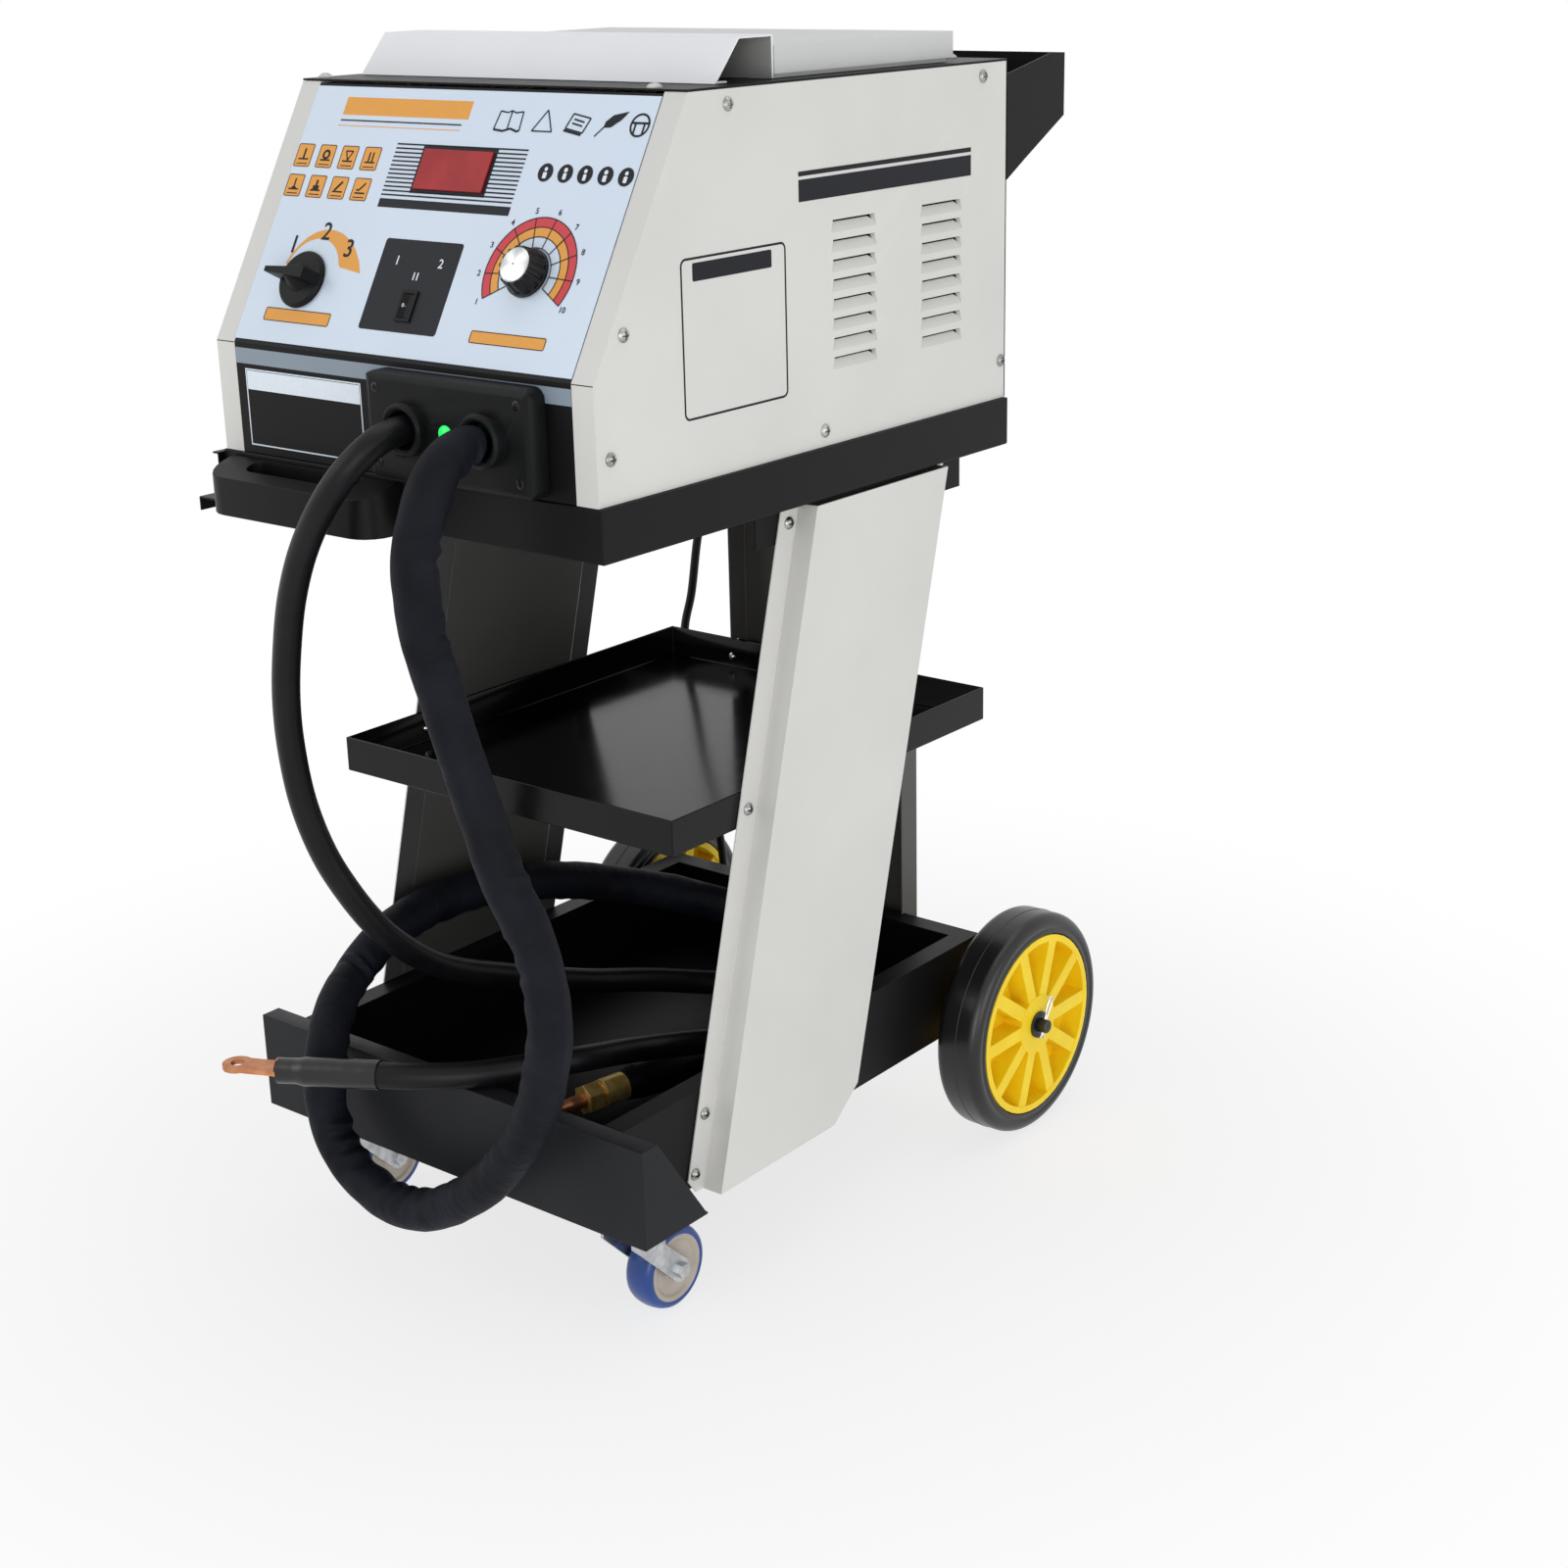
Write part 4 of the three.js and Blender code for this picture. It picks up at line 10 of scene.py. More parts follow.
import bpy
import bmesh
import numpy as np
from mathutils import Matrix, Vector

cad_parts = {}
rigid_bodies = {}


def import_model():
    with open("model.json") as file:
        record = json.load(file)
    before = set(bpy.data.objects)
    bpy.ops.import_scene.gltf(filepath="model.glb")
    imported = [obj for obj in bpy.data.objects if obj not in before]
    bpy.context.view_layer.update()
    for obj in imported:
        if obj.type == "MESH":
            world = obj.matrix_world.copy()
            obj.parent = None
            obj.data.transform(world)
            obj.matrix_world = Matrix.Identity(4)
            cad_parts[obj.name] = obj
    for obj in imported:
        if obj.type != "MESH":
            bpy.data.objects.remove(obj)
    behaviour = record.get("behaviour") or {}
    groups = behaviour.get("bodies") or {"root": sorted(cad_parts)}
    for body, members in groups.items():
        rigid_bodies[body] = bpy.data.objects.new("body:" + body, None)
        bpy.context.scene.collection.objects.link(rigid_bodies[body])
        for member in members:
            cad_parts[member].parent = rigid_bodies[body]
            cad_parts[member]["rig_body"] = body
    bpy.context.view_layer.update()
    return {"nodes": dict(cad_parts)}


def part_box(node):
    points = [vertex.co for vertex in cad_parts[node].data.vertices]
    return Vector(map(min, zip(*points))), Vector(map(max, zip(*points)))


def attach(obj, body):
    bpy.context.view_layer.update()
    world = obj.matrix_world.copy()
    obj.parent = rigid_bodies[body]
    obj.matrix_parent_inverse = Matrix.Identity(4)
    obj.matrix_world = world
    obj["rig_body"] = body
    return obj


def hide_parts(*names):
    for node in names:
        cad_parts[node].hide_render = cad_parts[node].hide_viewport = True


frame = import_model()

# Sizes of the machine that the looks are fitted to
MM = 0.001
TYRE_REAR = 596.9
MIDDLE_Y = TYRE_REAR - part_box("wheel_tyre_right")[1].y / MM
GAP = 0.3
CASE_HALF = 191.4
CASE_TOP = 920.6
KINK_Z = 737.5
SLANT_DEPTH = 106.6
SLANT_ANGLE = math.atan2(SLANT_DEPTH, CASE_TOP - KINK_Z)
OVERLAY_FACE = 0.8
INK = 0.15
ROOT = "cart_and_case"
SIDES, AXLE_WAY = (("left", -1), ("right", 1)), (1, 0, 0)
TAU = 2 * math.pi


def place(points):
    """Millimetres in the machine's frame to the row frame's metres: moved by the middle, then scaled."""
    return (np.asarray(points, float) - [0, MIDDLE_Y, 0]) * MM


def add_to_scene(thing):
    """Puts a new object into the scene's own collection."""
    bpy.context.scene.collection.objects.link(thing)


# Camera

CAMERA_PLACE = (1307.8, -1202.3, 1024.6)
CAMERA_YAW, CAMERA_PITCH, CAMERA_ROLL = 38.67, -19.15, -1.26
FOCAL_PIXELS, PHOTO_PIXELS, SENSOR = 2530.4, 1600, 36


def make_camera():
    """The camera at the photograph's place and focal length: looking along +Y, turned by yaw about Z,
    pitched, then rolled."""
    data = bpy.data.cameras.new("photo_camera")
    data.sensor_width = SENSOR
    data.lens = FOCAL_PIXELS / PHOTO_PIXELS * SENSOR
    data.clip_start, data.clip_end = 0.05, 50
    camera = bpy.data.objects.new("photo_camera", data)
    add_to_scene(camera)
    yaw, pitch, roll = np.radians([CAMERA_YAW, CAMERA_PITCH, CAMERA_ROLL])
    ahead = np.array([-np.sin(yaw) * np.cos(pitch), np.cos(yaw) * np.cos(pitch), np.sin(pitch)])
    right = np.array([np.cos(yaw), np.sin(yaw), 0.0])
    up = np.cross(right, ahead)
    across = right * np.cos(roll) + up * np.sin(roll)
    upward = -right * np.sin(roll) + up * np.cos(roll)
    turn = Matrix(np.column_stack([across, upward, -ahead]).tolist()).to_4x4()
    camera.matrix_world = Matrix.Translation(place([CAMERA_PLACE])[0]) @ turn
    bpy.context.scene.camera = camera


make_camera()


# Materials


def linear(code):
    """An sRGB hex colour as linear red, green, blue and full alpha."""
    parts = [int(code[k : k + 2], 16) / 255 for k in (1, 3, 5)]
    return [c / 12.92 if c <= 0.04045 else ((c + 0.055) / 1.055) ** 2.4 for c in parts] + [1.0]


def add_node(tree, kind, settings=(), links=()):
    """Adds one shader node: settings go to its inputs or properties by name, links join its inputs."""
    node = tree.nodes.new(f"ShaderNode{kind}")
    for name, value in dict(settings).items():
        if isinstance(name, int) or name in node.inputs:
            node.inputs[name].default_value = value
        else:
            setattr(node, name, value)
    for name, source in dict(links).items():
        tree.links.new(source, node.inputs[name])
    return node


def new_material(name, **sockets):
    """A material with one Principled shader whose plain values are set on its own sockets."""
    material = bpy.data.materials.new(name)
    material.use_nodes = True
    tree = material.node_tree
    shader = tree.nodes["Principled BSDF"]
    for key, value in sockets.items():
        shader.inputs[key.replace("_", " ")].default_value = value
    return material, tree, shader


def two_tones(tree, factor, dark, light, low=0.35, high=0.65):
    """A colour ramp from dark to light hex colours over the middle of a factor."""
    ramp = add_node(tree, "ValToRGB", links={"Fac": factor})
    ramp.color_ramp.elements[0].position = low
    ramp.color_ramp.elements[1].position = high
    ramp.color_ramp.elements[0].color = linear(dark)
    ramp.color_ramp.elements[1].color = linear(light)
    return ramp.outputs["Color"]


def per_metre(millimetres):
    """Scale of a noise on Object coordinates whose features are this wide."""
    return 1000 / millimetres


def roughness_band(tree, factor, middle, below, above):
    """Roughness that goes from so much below the middle to so much above it with the factor."""
    settings = {"To Min": middle - below, "To Max": middle + above}
    return add_node(tree, "MapRange", settings, {"Value": factor}).outputs["Result"]


def object_place(tree):
    """Object coordinates, in metres."""
    return add_node(tree, "TexCoord").outputs["Object"]


def noise(tree, where, mm, detail, **settings):
    """Cloudy noise on Object coordinates, its features so many millimetres wide: the factor."""
    settings = {"Scale": per_metre(mm), "Detail": detail, **settings}
    return add_node(tree, "TexNoise", settings, {"Vector": where}).outputs["Fac"]


def bumped(tree, height, strength, depth, **links):
    """Bump from a height, its depth in metres: the bent normal."""
    settings = {"Strength": strength, "Distance": depth}
    return add_node(tree, "Bump", settings, {"Height": height, **links}).outputs["Normal"]


def larger(tree, one, other):
    """The larger of two values."""
    settings = {"operation": "MAXIMUM"}
    return add_node(tree, "Math", settings, {0: one, 1: other}).outputs["Value"]


def finish(made, colour, roughness=None, normal=None):
    """Joins what is given to the shader of a new material, and gives the material."""
    material, tree, shader = made
    for socket, source in (("Base Color", colour), ("Roughness", roughness), ("Normal", normal)):
        if source is not None:
            tree.links.new(source, shader.inputs[socket])
    return material


def powder_coat(name, dark, light, roughness, grain_mm, bump, **sockets):
    """Epoxy powder coat baked on sheet steel: orange-peel bump, faint cloudy tone, scuffs in the gloss."""
    made = new_material(name, **{"IOR": 1.5, "Coat_Roughness": 0.12, **sockets})
    tree = made[1]
    where = object_place(tree)
    scuff = noise(tree, where, mm=18, detail=8.0, Roughness=0.75)
    return finish(
        made,
        two_tones(tree, noise(tree, where, mm=140, detail=5.0), dark, light),
        roughness_band(tree, scuff, roughness, below=0.07, above=0.07),
        bumped(tree, noise(tree, where, grain_mm, detail=2.0), bump, depth=0.0004),
    )


def moulded_plastic(name, dark, light, roughness, grain_mm, bump, **sockets):
    """Injection moulded plastic: spark-eroded grain from the mould, faint flow marks in the tone."""
    made = new_material(name, **{"IOR": 1.47, **sockets})
    tree = made[1]
    where = object_place(tree)
    flow = noise(tree, where, mm=30, detail=4.0)
    return finish(
        made,
        two_tones(tree, flow, dark, light),
        roughness_band(tree, flow, roughness, below=0.04, above=0.06),
        bumped(tree, noise(tree, where, grain_mm, detail=3.0), bump, depth=0.0002),
    )


def bright_metal(name, dark, light, roughness, brush_mm, stretch, metallic=1.0):
    """Metal with fine brush or lathe lines, stretched along X, Y or Z, and a cloudy tarnish."""
    made = new_material(name, Metallic=metallic)
    tree = made[1]
    where = object_place(tree)
    settings = {"Scale": [1 / s for s in stretch]}
    squeezed = add_node(tree, "Mapping", settings, {"Vector": where}).outputs["Vector"]
    cloud = noise(tree, where, mm=9, detail=6.0)
    return finish(
        made,
        two_tones(tree, cloud, dark, light),
        roughness_band(tree, cloud, roughness, below=0.06, above=0.1),
        bumped(tree, noise(tree, squeezed, brush_mm, detail=4.0), strength=0.12, depth=0.0002),
    )


def printed_ink(name, colour, roughness=0.45, shine=0.5):
    """Screen-printing ink on film: an almost even tone, thinner here and there."""
    made = new_material(name, IOR=1.48, Specular_IOR_Level=shine)
    tree = made[1]
    thin = noise(tree, object_place(tree), mm=3, detail=5.0)
    ramp = add_node(tree, "ValToRGB", links={"Fac": thin})
    for stop, share in zip(ramp.color_ramp.elements, (0.92, 1.06)):
        stop.color = [*np.minimum(np.array(linear(colour)[:3]) * share, 1), 1]
    band = roughness_band(tree, thin, roughness, below=0.05, above=0.05)
    return finish(made, ramp.outputs["Color"], band)


LOW_SHINE, MILD_SHINE, RUBBER_SHINE = ({"Specular_IOR_Level": level} for level in (0.14, 0.3, 0.22))
# White epoxy powder coat on the case, hood, lid and legs: satin, with a fine orange peel; the hood's copy
# is lighter as painted light
WHITE_COAT = powder_coat("white_powder_coat", "#cecdc8", "#d4d3ce", 0.42, 1.4, 0.10)
HOOD_COAT_PAINTED_LIGHT = powder_coat("white_powder_coat_hood_painted_light", "#ededee", "#f1f1f2", 0.42, 1.4, 0.10)
LID_COAT = powder_coat("white_powder_coat_lid", "#cacbc9", "#cecfcd", 0.42, 1.4, 0.10)
# Black powder coat on the cart's sheets: satin, soft highlights along the folds
BLACK_COAT = powder_coat("black_powder_coat", "#09090b", "#0d0d0f", 0.42, 1.2, 0.16, **LOW_SHINE)
# Painted shade on the insides of the legs: a dark grey on the white covers' inward faces
LEG_INSIDE_SHADE = powder_coat("leg_inside_painted_shade", "#4b4b4c", "#555556", 0.5, 1.2, 0.12, **LOW_SHINE)
# Gloss black enamel on the shelf: mirrors the bright room softly
GLOSS_BLACK = powder_coat(
    "gloss_black_enamel", "#070709", "#0a0a0c", 0.16, 3.0, 0.03, Coat_Weight=0.1, **LOW_SHINE
)
# Charcoal powder coat on the posts and the column, a little brown: the cart's black lightened as painted
# light
POST_COAT_PAINTED_LIGHT = powder_coat("charcoal_powder_coat_painted_light", "#454440", "#4c4b47", 0.46, 1.2, 0.12)
# The front bar's black powder coat, lighter all over as painted light
BAR_COAT_PAINTED_LIGHT = powder_coat("satin_black_coat_bar_painted_light", "#1a1b1e", "#212226", 0.44, 1.2, 0.14, **LOW_SHINE)
# Matt back-printed polyester film on the slanted panel, and the strip below it
FILM = powder_coat("panel_polyester_film", "#cfdcea", "#d3dfec", 0.38, 0.9, 0.05)
STRIP_FILM = powder_coat("strip_polyester_film", "#7f8c98", "#84919c", 0.38, 0.9, 0.05)
# Screen-printed inks; the charcoal one is also painted shade inside the hood, with a grey painted shade on
# its rear
INK_DARK = printed_ink("screen_ink_dark", "#1a1b21", 0.45, 0.16)
INK_PLATE_AND_HOOD_SHADE = printed_ink("screen_ink_charcoal_and_hood_shade", "#222327", 0.5, 0.16)
INK_AMBER = printed_ink("screen_ink_amber", "#e29c3b")
INK_RED = printed_ink("screen_ink_red", "#c8303b")
INK_PALE = printed_ink("screen_ink_pale", "#dfe8f0")
HOOD_REAR_SHADE = printed_ink("hood_rear_painted_shade", "#a5a4a2", 0.6, 0.2)
# ABS with a moulded grain: cable box and rocker; polypropylene: handles, gland, plug
BLACK_ABS = moulded_plastic("black_abs_grained", "#0e0f10", "#131415", 0.42, 0.9, 0.35, **LOW_SHINE)
HANDLE_ABS = moulded_plastic("black_polypropylene", "#08090a", "#0d0d0e", 0.40, 0.7, 0.25, **LOW_SHINE)
# Phenolic knobs: the timer's with a polished skin, the selector's matt
KNOB_PHENOLIC = moulded_plastic("black_phenolic", "#0b0b0d", "#111115", 0.26, 0.6, 0.1, **MILD_SHINE)
SELECTOR_PHENOLIC = moulded_plastic(
    "black_phenolic_matt", "#0c0d0e", "#121314", 0.42, 0.6, 0.2, **LOW_SHINE
)
# Yellow moulded polypropylene of the rims
YELLOW_PP = moulded_plastic("yellow_polypropylene", "#f3cf12", "#f8d81c", 0.36, 1.0, 0.12, **MILD_SHINE)
# Vulcanised rubber of the tyres, shiny from its mould; cast polyurethane and nylon of the casters
TYRE_RUBBER = moulded_plastic("tyre_rubber", "#101012", "#161618", 0.30, 1.6, 0.3)
BLUE_PU = moulded_plastic("blue_polyurethane", "#173a7c", "#1d4388", 0.3, 1.0, 0.1)
PALE_NYLON = moulded_plastic("beige_nylon_hub", "#a2988c", "#b0a699", 0.45, 1.0, 0.1)
# Extruded rubber of the cords, and tube shrunk on with heat
CABLE_RUBBER = moulded_plastic("cable_rubber", "#0a0a0d", "#101013", 0.40, 0.5, 0.2, **RUBBER_SHINE)
HEAT_SHRINK = moulded_plastic("heat_shrink_tube", "#0d0d0f", "#141417", 0.3, 2.5, 0.35)
# Zinc and nickel plated steel, black-oxide axle, copper strip, turned brass, extruded aluminium
ZINC = bright_metal("zinc_plated_steel", "#a4a6a9", "#c6c8ca", 0.3, 0.6, (1, 1, 1))
NICKEL = bright_metal("nickel_plated_steel", "#c2c2c0", "#dcdcda", 0.22, 0.6, (1, 1, 1))
SCREW_STEEL = bright_metal("nickel_plated_screw", "#8b8b89", "#b4b4b1", 0.28, 0.6, (1, 1, 1))
DARK_STEEL = bright_metal("black_oxide_steel", "#3a3b3e", "#4c4d50", 0.35, 0.6, (12, 1, 1))
COPPER = bright_metal("copper_strip", "#b5744e", "#c88b64", 0.42, 0.7, (14, 1, 1), metallic=0.85)
BRASS = bright_metal("turned_brass", "#d3ac55", "#ebcb80", 0.36, 0.5, (1, 1, 1), metallic=0.6)
ALUMINIUM = bright_metal("extruded_aluminium", "#a8abae", "#bfc2c4", 0.35, 0.5, (1, 14, 1))
# Varnish dipped over the winding, and the board's pressed glass and epoxy
VARNISH = moulded_plastic("varnished_winding", "#7c4420", "#9a5a2c", 0.35, 1.2, 0.3)
BOARD = moulded_plastic("glass_epoxy_board", "#17532f", "#1f6b3c", 0.35, 0.8, 0.1)


def window_material():
    """Tinted acrylic of the display: deep red, a little cloudy, under a soft gloss."""
    made = new_material("red_acrylic_window", Roughness=0.22, IOR=1.49, Specular_IOR_Level=0.2)
    cloud = noise(made[1], object_place(made[1]), mm=26, detail=3.0)
    return finish(made, two_tones(made[1], cloud, "#971c20", "#a82529"))


def lamp_material():
    """Green lens moulded with small cells, lit from inside."""
    made = new_material("green_lamp_lens", Roughness=0.2, IOR=1.5, Emission_Strength=0.9)
    tree = made[1]
    links = {"Vector": object_place(tree)}
    cells = add_node(tree, "TexVoronoi", {"Scale": per_metre(1.6)}, links)
    glow = two_tones(tree, cells.outputs["Distance"], "#12b84e", "#2be56a", 0.0, 0.8)
    tree.links.new(glow, made[2].inputs["Emission Color"])
    return finish(made, glow)


def sleeve_material():
    """Coated cloth sleeve: plain weave of 1.1 mm threads, drawn coarser than life so that it shows, with
    creases round it. U is millimetres along the sleeve, V millimetres round it."""
    thread_mm, crease_mm, crease_squeeze = 1.1, 14, (1.0, 0.35, 1.0)
    made = new_material("coated_cloth_sleeve", IOR=1.45, **LOW_SHINE)
    tree = made[1]
    uv = {"Vector": add_node(tree, "UVMap", {"uv_map": "along_and_round"}).outputs["UV"]}
    thread = {"Scale": 1 / thread_mm / 2, "Distortion": 0.4}
    warp = add_node(tree, "TexWave", {**thread, "bands_direction": "X"}, uv)
    weft = add_node(tree, "TexWave", {**thread, "bands_direction": "Y"}, uv)
    weave = larger(tree, warp.outputs["Fac"], weft.outputs["Fac"])
    squeezed = add_node(tree, "Mapping", {"Scale": crease_squeeze}, uv)
    settings = {"Scale": 1 / crease_mm, "Detail": 5.0, "Distortion": 0.6}
    links = {"Vector": squeezed.outputs["Vector"]}
    crease = add_node(tree, "TexNoise", settings, links).outputs["Fac"]
    fade = noise(tree, object_place(tree), mm=45, detail=6.0)
    fine = bumped(tree, weave, strength=0.25, depth=0.0003)
    return finish(
        made,
        two_tones(tree, fade, "#0c0d13", "#151720"),
        roughness_band(tree, crease, 0.5, below=0, above=0.22),
        bumped(tree, crease, strength=0.5, depth=0.004, Normal=fine),
    )


def spun_cap_material():
    """Spun aluminium cap: lathe rings round the knob's axis, and bright fans of painted reflection in its
    colour across it.
    """
    made = new_material("spun_aluminium_cap", Metallic=0.85, Roughness=0.28)
    tree = made[1]
    uv = {"Vector": add_node(tree, "UVMap", {"uv_map": "round_and_in"}).outputs["UV"]}
    settings = {"Scale": 0.2, "bands_direction": "X", "Distortion": 0.8, "Detail": 2.0}
    # Painted reflection: bright fans laid into the cap's colour
    painted_reflection_fans = add_node(tree, "TexWave", settings, uv)
    rings = add_node(tree, "TexWave", {"Scale": 6.0, "bands_direction": "Y"}, uv)
    return finish(
        made,
        two_tones(tree, painted_reflection_fans.outputs["Fac"], "#bfc0c2", "#e9eaeb", 0.1, 0.9),
        normal=bumped(tree, rings.outputs["Fac"], strength=0.08, depth=0.0002),
    )


RED_WINDOW = window_material()
LAMP_LENS = lamp_material()
SLEEVE_CLOTH = sleeve_material()
SPUN_CAP = spun_cap_material()


# Surfaces


def grid(rows, columns):
    """Quads of a rows by columns grid of points whose columns close in a ring, with each corner's row and
    column number for its UV."""
    i, j = np.meshgrid(np.arange(rows - 1), np.arange(columns), indexing="ij")
    corner_i = np.stack([i, i + 1, i + 1, i], -1).reshape(-1, 4)
    corner_j = np.stack([j, j, j + 1, j + 1], -1).reshape(-1, 4)
    return corner_i * columns + corner_j % columns, corner_i, corner_j


def weld(mesh, flat_angle=None):
    """Merges points that lie together; then merges flat faces, or else drops slivers and turns faces
    outwards."""
    work = bmesh.new()
    work.from_mesh(mesh)
    bmesh.ops.remove_doubles(work, verts=work.verts, dist=2e-6)
    if flat_angle:
        flat = math.radians(flat_angle)
        bmesh.ops.dissolve_limit(work, angle_limit=flat, verts=work.verts, edges=work.edges)
    else:
        bmesh.ops.dissolve_degenerate(work, edges=work.edges, dist=1e-6)
        bmesh.ops.recalc_face_normals(work, faces=work.faces)
    work.to_mesh(mesh)
    work.free()


def as_piece(name, mesh, material, body, sharp_angle=35):
    """The mesh as a piece on its body: one material, smooth but for edges sharper than the angle."""
    mesh.materials.append(material)
    mesh.polygons.foreach_set("use_smooth", np.ones(len(mesh.polygons), bool))
    mesh.set_sharp_from_angle(angle=math.radians(sharp_angle))
    piece = bpy.data.objects.new(name, mesh)
    add_to_scene(piece)
    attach(piece, body)
    return piece


def add_piece(name, points, faces, material, body=ROOT, uv=None, uv_name=None):
    """A piece from points in millimetres and faces."""
    mesh = bpy.data.meshes.new(name)
    mesh.from_pydata(place(points).tolist(), [], [list(face) for face in faces])
    if uv is not None:
        layer = mesh.uv_layers.new(name=uv_name)
        layer.data.foreach_set("uv", np.asarray(uv, np.float32).ravel())
    weld(mesh)
    return as_piece(name, mesh, material, body)


def dress(node, material, width, segments=2, sharp_angle=35):
    """A copy of a CAD node in its finish, its edges rounded by a width in millimetres; it stands for the
    node."""
    source = frame["nodes"][node]
    mesh = source.data.copy()
    weld(mesh, flat_angle=0.8)
    mesh.materials.clear()
    piece = as_piece(f"{node}_sheet", mesh, material, source["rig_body"], sharp_angle)
    if width:
        bevel = piece.modifiers.new("rounded_edges", "BEVEL")
        bevel.width = width * MM
        bevel.segments = segments
        bevel.limit_method = "ANGLE"
        bevel.angle_limit = math.radians(30)
        bevel.harden_normals = True
    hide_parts(node)
    return piece


def paint_shade_facing(piece, material, way):
    """Painted shade: another material on the faces that look this way, those whose normal has more than
    half of it.
    """
    mesh = piece.data
    normals = np.zeros(len(mesh.polygons) * 3, np.float32)
    mesh.polygons.foreach_get("normal", normals)
    mesh.materials.append(material)
    mesh.polygons.foreach_set("material_index", (normals.reshape(-1, 3) @ way > 0.5).astype(np.int32))


def frame_of(axis):
    """Rows of a turn that carries Z to the axis."""
    z = np.asarray(axis, float) / np.linalg.norm(axis)
    x = np.cross([0, 0, 1] if abs(z[2]) < 0.9 else [0, 1, 0], z)
    x /= np.linalg.norm(x)
    return np.array([x, np.cross(z, x), z])


def add_turned(name, profile, steps, centre, axis, material, body, uv_name=None):
    """A profile of (radius, height) turned about Z: point = (r cos t, r sin t, h), then carried to the axis
    and the centre. Rows that lie on the axis meet in one pole. UV is the turn's angle and the row."""
    profile = np.asarray(profile, float)
    t = np.arange(steps) * TAU / steps
    radius, height = profile[:, :1], np.repeat(profile[:, 1:], steps, 1)
    points = np.stack([radius * np.cos(t), radius * np.sin(t), height], -1).reshape(-1, 3)
    points = points @ frame_of(axis) + np.asarray(centre, float)
    quads, i, j = grid(len(profile), steps)
    uv = None if uv_name is None else np.stack([j / steps * TAU, i], -1)
    return add_piece(name, points, quads, material, body, uv, uv_name)


def arc(cx, cy, radius, start, end, steps):
    """Points on an arc, angles in degrees."""
    t = np.radians(np.linspace(start, end, steps + 1))
    return np.stack([cx + radius * np.cos(t), cy + radius * np.sin(t)], -1)


def on_panel(x, s, out):
    """Points of the slanted panel: x across, s up the slope from the kink, out square to it."""
    x, s, out = np.broadcast_arrays(*(np.asarray(value, float) for value in (x, s, out)))
    sine, cosine = math.sin(SLANT_ANGLE), math.cos(SLANT_ANGLE)
    return np.stack([x, s * sine - out * cosine, KINK_Z + s * cosine + out * sine], -1)


def slabs(outlines, low, high):
    """Each outline of (a, b) becomes a slab from low to high: a copy below, a copy above, walls between."""
    points, faces, start = [], [], 0
    for outline in outlines:
        outline = np.asarray(outline, float)
        n = len(outline)
        k = np.arange(n)
        points.append(np.column_stack([np.tile(outline, (2, 1)), np.repeat([low, high], n)]))
        faces.append((start + k[::-1]).tolist())
        faces.append((start + n + k).tolist())
        walls = np.stack([k, (k + 1) % n, (k + 1) % n + n, k + n], -1) + start
        faces.extend(walls.tolist())
        start += 2 * n
    return np.concatenate(points), faces


def add_print(name, outlines, low, high, material, surface):
    """Ink from low to high on a surface, which carries (a, b, out) to the machine's frame."""
    points, faces = slabs(outlines, low, high)
    add_piece(name, surface(*points.T), faces, material)


def panel_print(name, outlines, material, layer=0):
    """Ink on the slanted panel: slabs a fraction of a millimetre thick, each layer on the last."""
    low, high = OVERLAY_FACE + layer * INK, OVERLAY_FACE + (layer + 1) * INK
    add_print(name, outlines, low, high, material, on_panel)


def front_print(name, outlines, material, thickness=INK):
    """Ink on the lower front, which faces -Y: outlines of (x, z)."""
    add_print(
        name, outlines, 0, thickness, material, lambda a, b, out: np.column_stack([a, -out, b])
    )


def box_outline(a0, a1, b0, b1, corner=0.0):
    """A rectangle, its corners rounded where a radius is given."""
    if not corner:
        return [(a0, b0), (a1, b0), (a1, b1), (a0, b1)]
    left, right, low, high = a0 + corner, a1 - corner, b0 + corner, b1 - corner
    middles = [(right, low, -90), (right, high, 0), (left, high, 90), (left, low, 180)]
    return np.concatenate([arc(a, b, corner, t, t + 90, 4) for a, b, t in middles])


def border(a0, a1, b0, b1, width, corner=0.0):
    """The border of a rectangle: four straight bars, and quarter rings where a corner radius is given."""
    left, right, low, high = a0 + corner, a1 - corner, b0 + corner, b1 - corner
    end = corner or width
    bars = [
        box_outline(left, right, b0, b0 + width),
        box_outline(left, right, b1 - width, b1),
        box_outline(a0, a0 + width, b0 + end, b1 - end),
        box_outline(a1 - width, a1, b0 + end, b1 - end),
    ]
    if not corner:
        return bars
    middles = [(right, high, 0), (left, high, 90), (left, low, 180), (right, low, 270)]
    return bars + [sector(a, b, corner - width, corner, t, t + 90, 8) for a, b, t in middles]


def sector(cx, cy, inner, outer, start, end, steps):
    """A piece of a flat ring between two angles in degrees."""
    return np.concatenate([arc(cx, cy, outer, start, end, steps), arc(cx, cy, inner, end, start, steps)])


def ring_outlines(cx, cy, radius, width, start=0, end=360):
    """A thin circle or arc as four sectors."""
    cuts = np.linspace(start, end, 5)
    inner, outer = radius - width / 2, radius + width / 2
    return [sector(cx, cy, inner, outer, a, b, 12) for a, b in zip(cuts, cuts[1:])]


def stroke(a, b, width):
    """A thin straight bar from a to b."""
    a, b = np.asarray(a, float), np.asarray(b, float)
    side = np.array([a[1] - b[1], b[0] - a[0]]) / np.linalg.norm(b - a) * width / 2
    return [a + side, a - side, b - side, b + side]


def strokes(points, width, closed=False):
    """Thin bars along a line of points."""
    ends = list(points[1:]) + ([points[0]] if closed else [])
    return [stroke(a, b, width) for a, b in zip(points, ends)]


def drawn(table):
    """Outlines of a table of (line width, closed, points); a width of 0 stands for a filled outline."""
    return [
        outline
        for width, closed, line in table
        for outline in (strokes(line, width, closed) if width else [line])
    ]
